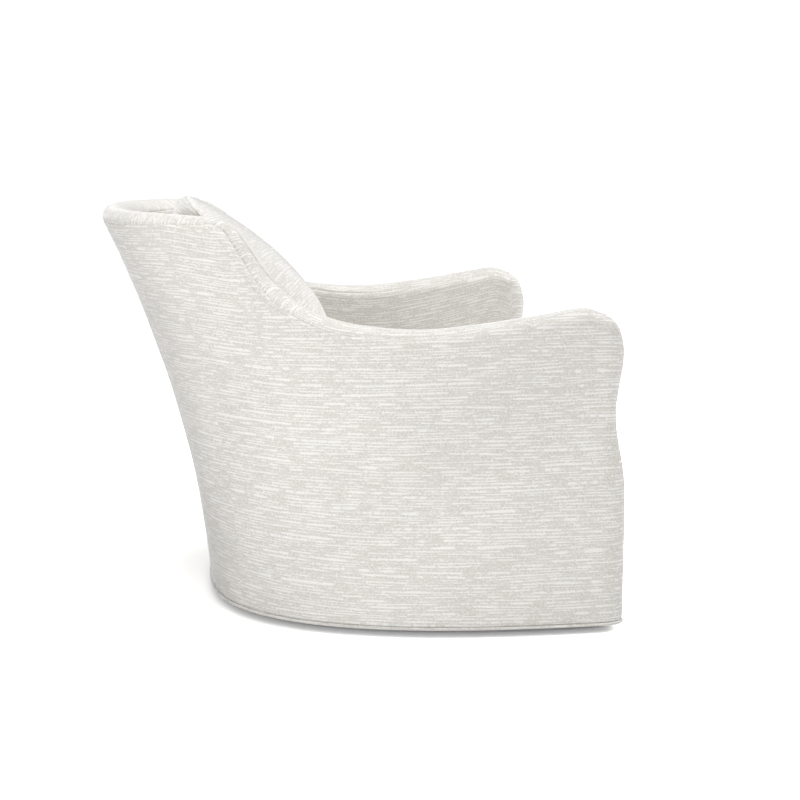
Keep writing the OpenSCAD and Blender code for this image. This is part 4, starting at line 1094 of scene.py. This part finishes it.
# Studio: a white floor and backdrop for the camera, and a plain level of light for the chair
FLOOR_HALF, FLOOR_GREY, WORLD_LIGHT, BACKDROP = 30, 0.80, 0.30, 1.1
# How pale the camera sees the floor near the chair and far from it, and these two distances in metres. Less
# pale near the chair, so that the shade the chair casts there shows darker: painted shade. Paler far off, so
# that the less lit far floor still looks white
PALE_NEAR, PALE_FAR, NEAR, FAR = 2.20, 3.80, 0.6, 1.2

corners = [(-FLOOR_HALF, -FLOOR_HALF, 0), (FLOOR_HALF, -FLOOR_HALF, 0),
           (FLOOR_HALF, FLOOR_HALF, 0), (-FLOOR_HALF, FLOOR_HALF, 0)]
floor_mesh = bpy.data.meshes.new("floor")
floor_mesh.from_pydata(corners, [], [(0, 1, 2, 3)])
floor = bpy.data.objects.new("floor", floor_mesh)
scene.collection.objects.link(floor)
n = Nodes(bpy.data.materials.new("floor_white"))
away = n.put("ShaderNodeVectorMath", operation="LENGTH")
n.wire(n.put("ShaderNodeTexCoord").outputs["Object"], away.inputs[0])
# Painted shade: the floor is seen less pale near the chair, which deepens the chair's shade on it
pale = n.step(away.outputs["Value"], NEAR, FAR, PALE_NEAR, PALE_FAR)
diffuse = n.put("ShaderNodeBsdfDiffuse")
grey = (FLOOR_GREY, FLOOR_GREY, FLOOR_GREY, 1)
n.wire(n.blend(n.seen(), grey, n.vector(pale, pale, pale)), diffuse.inputs["Color"])
n.end("ShaderNodeOutputMaterial", diffuse)
paint(floor, n.holder)

scene.world = bpy.data.worlds.new("studio")
n = Nodes(scene.world)
choose = n.put("ShaderNodeMixShader")
n.wire(n.seen(), choose.inputs[0])
for k, strength in ((1, WORLD_LIGHT), (2, BACKDROP)):
    background = n.put("ShaderNodeBackground")
    background.inputs["Color"].default_value = (1, 1, 1, 1)
    background.inputs["Strength"].default_value = strength
    n.wire(background.outputs[0], choose.inputs[k])
n.end("ShaderNodeOutputWorld", choose)


def area(name, place, aim, size, power):
    """A square lamp: where it stands and what it aims at, its size in metres and its power in watts."""
    data = bpy.data.lights.new(name, "AREA")
    data.shape, data.size, data.energy = "SQUARE", size, power
    obj = bpy.data.objects.new(name, data)
    scene.collection.objects.link(obj)
    obj.location = place
    obj.rotation_mode = "QUATERNION"
    obj.rotation_quaternion = (Vector(aim) - Vector(place)).to_track_quat("-Z", "Y")


area("side_light", (-3.3, 1.3, 0.9), (0, 0.1, 0.1), 1.6, 56)
area("rear_light", (-2.6, 3.0, 0.15), (0, 0.2, 0.0), 1.0, 16)
area("front_light", (0.2, -3.0, 1.7), (0, 0.0, 0.5), 1.4, 54)
area("top_light", (0.0, 0.3, 3.2), (0, 0.1, 0.5), 1.2, 50)

scene.view_settings.view_transform = "Standard"
scene.view_settings.look = "None"
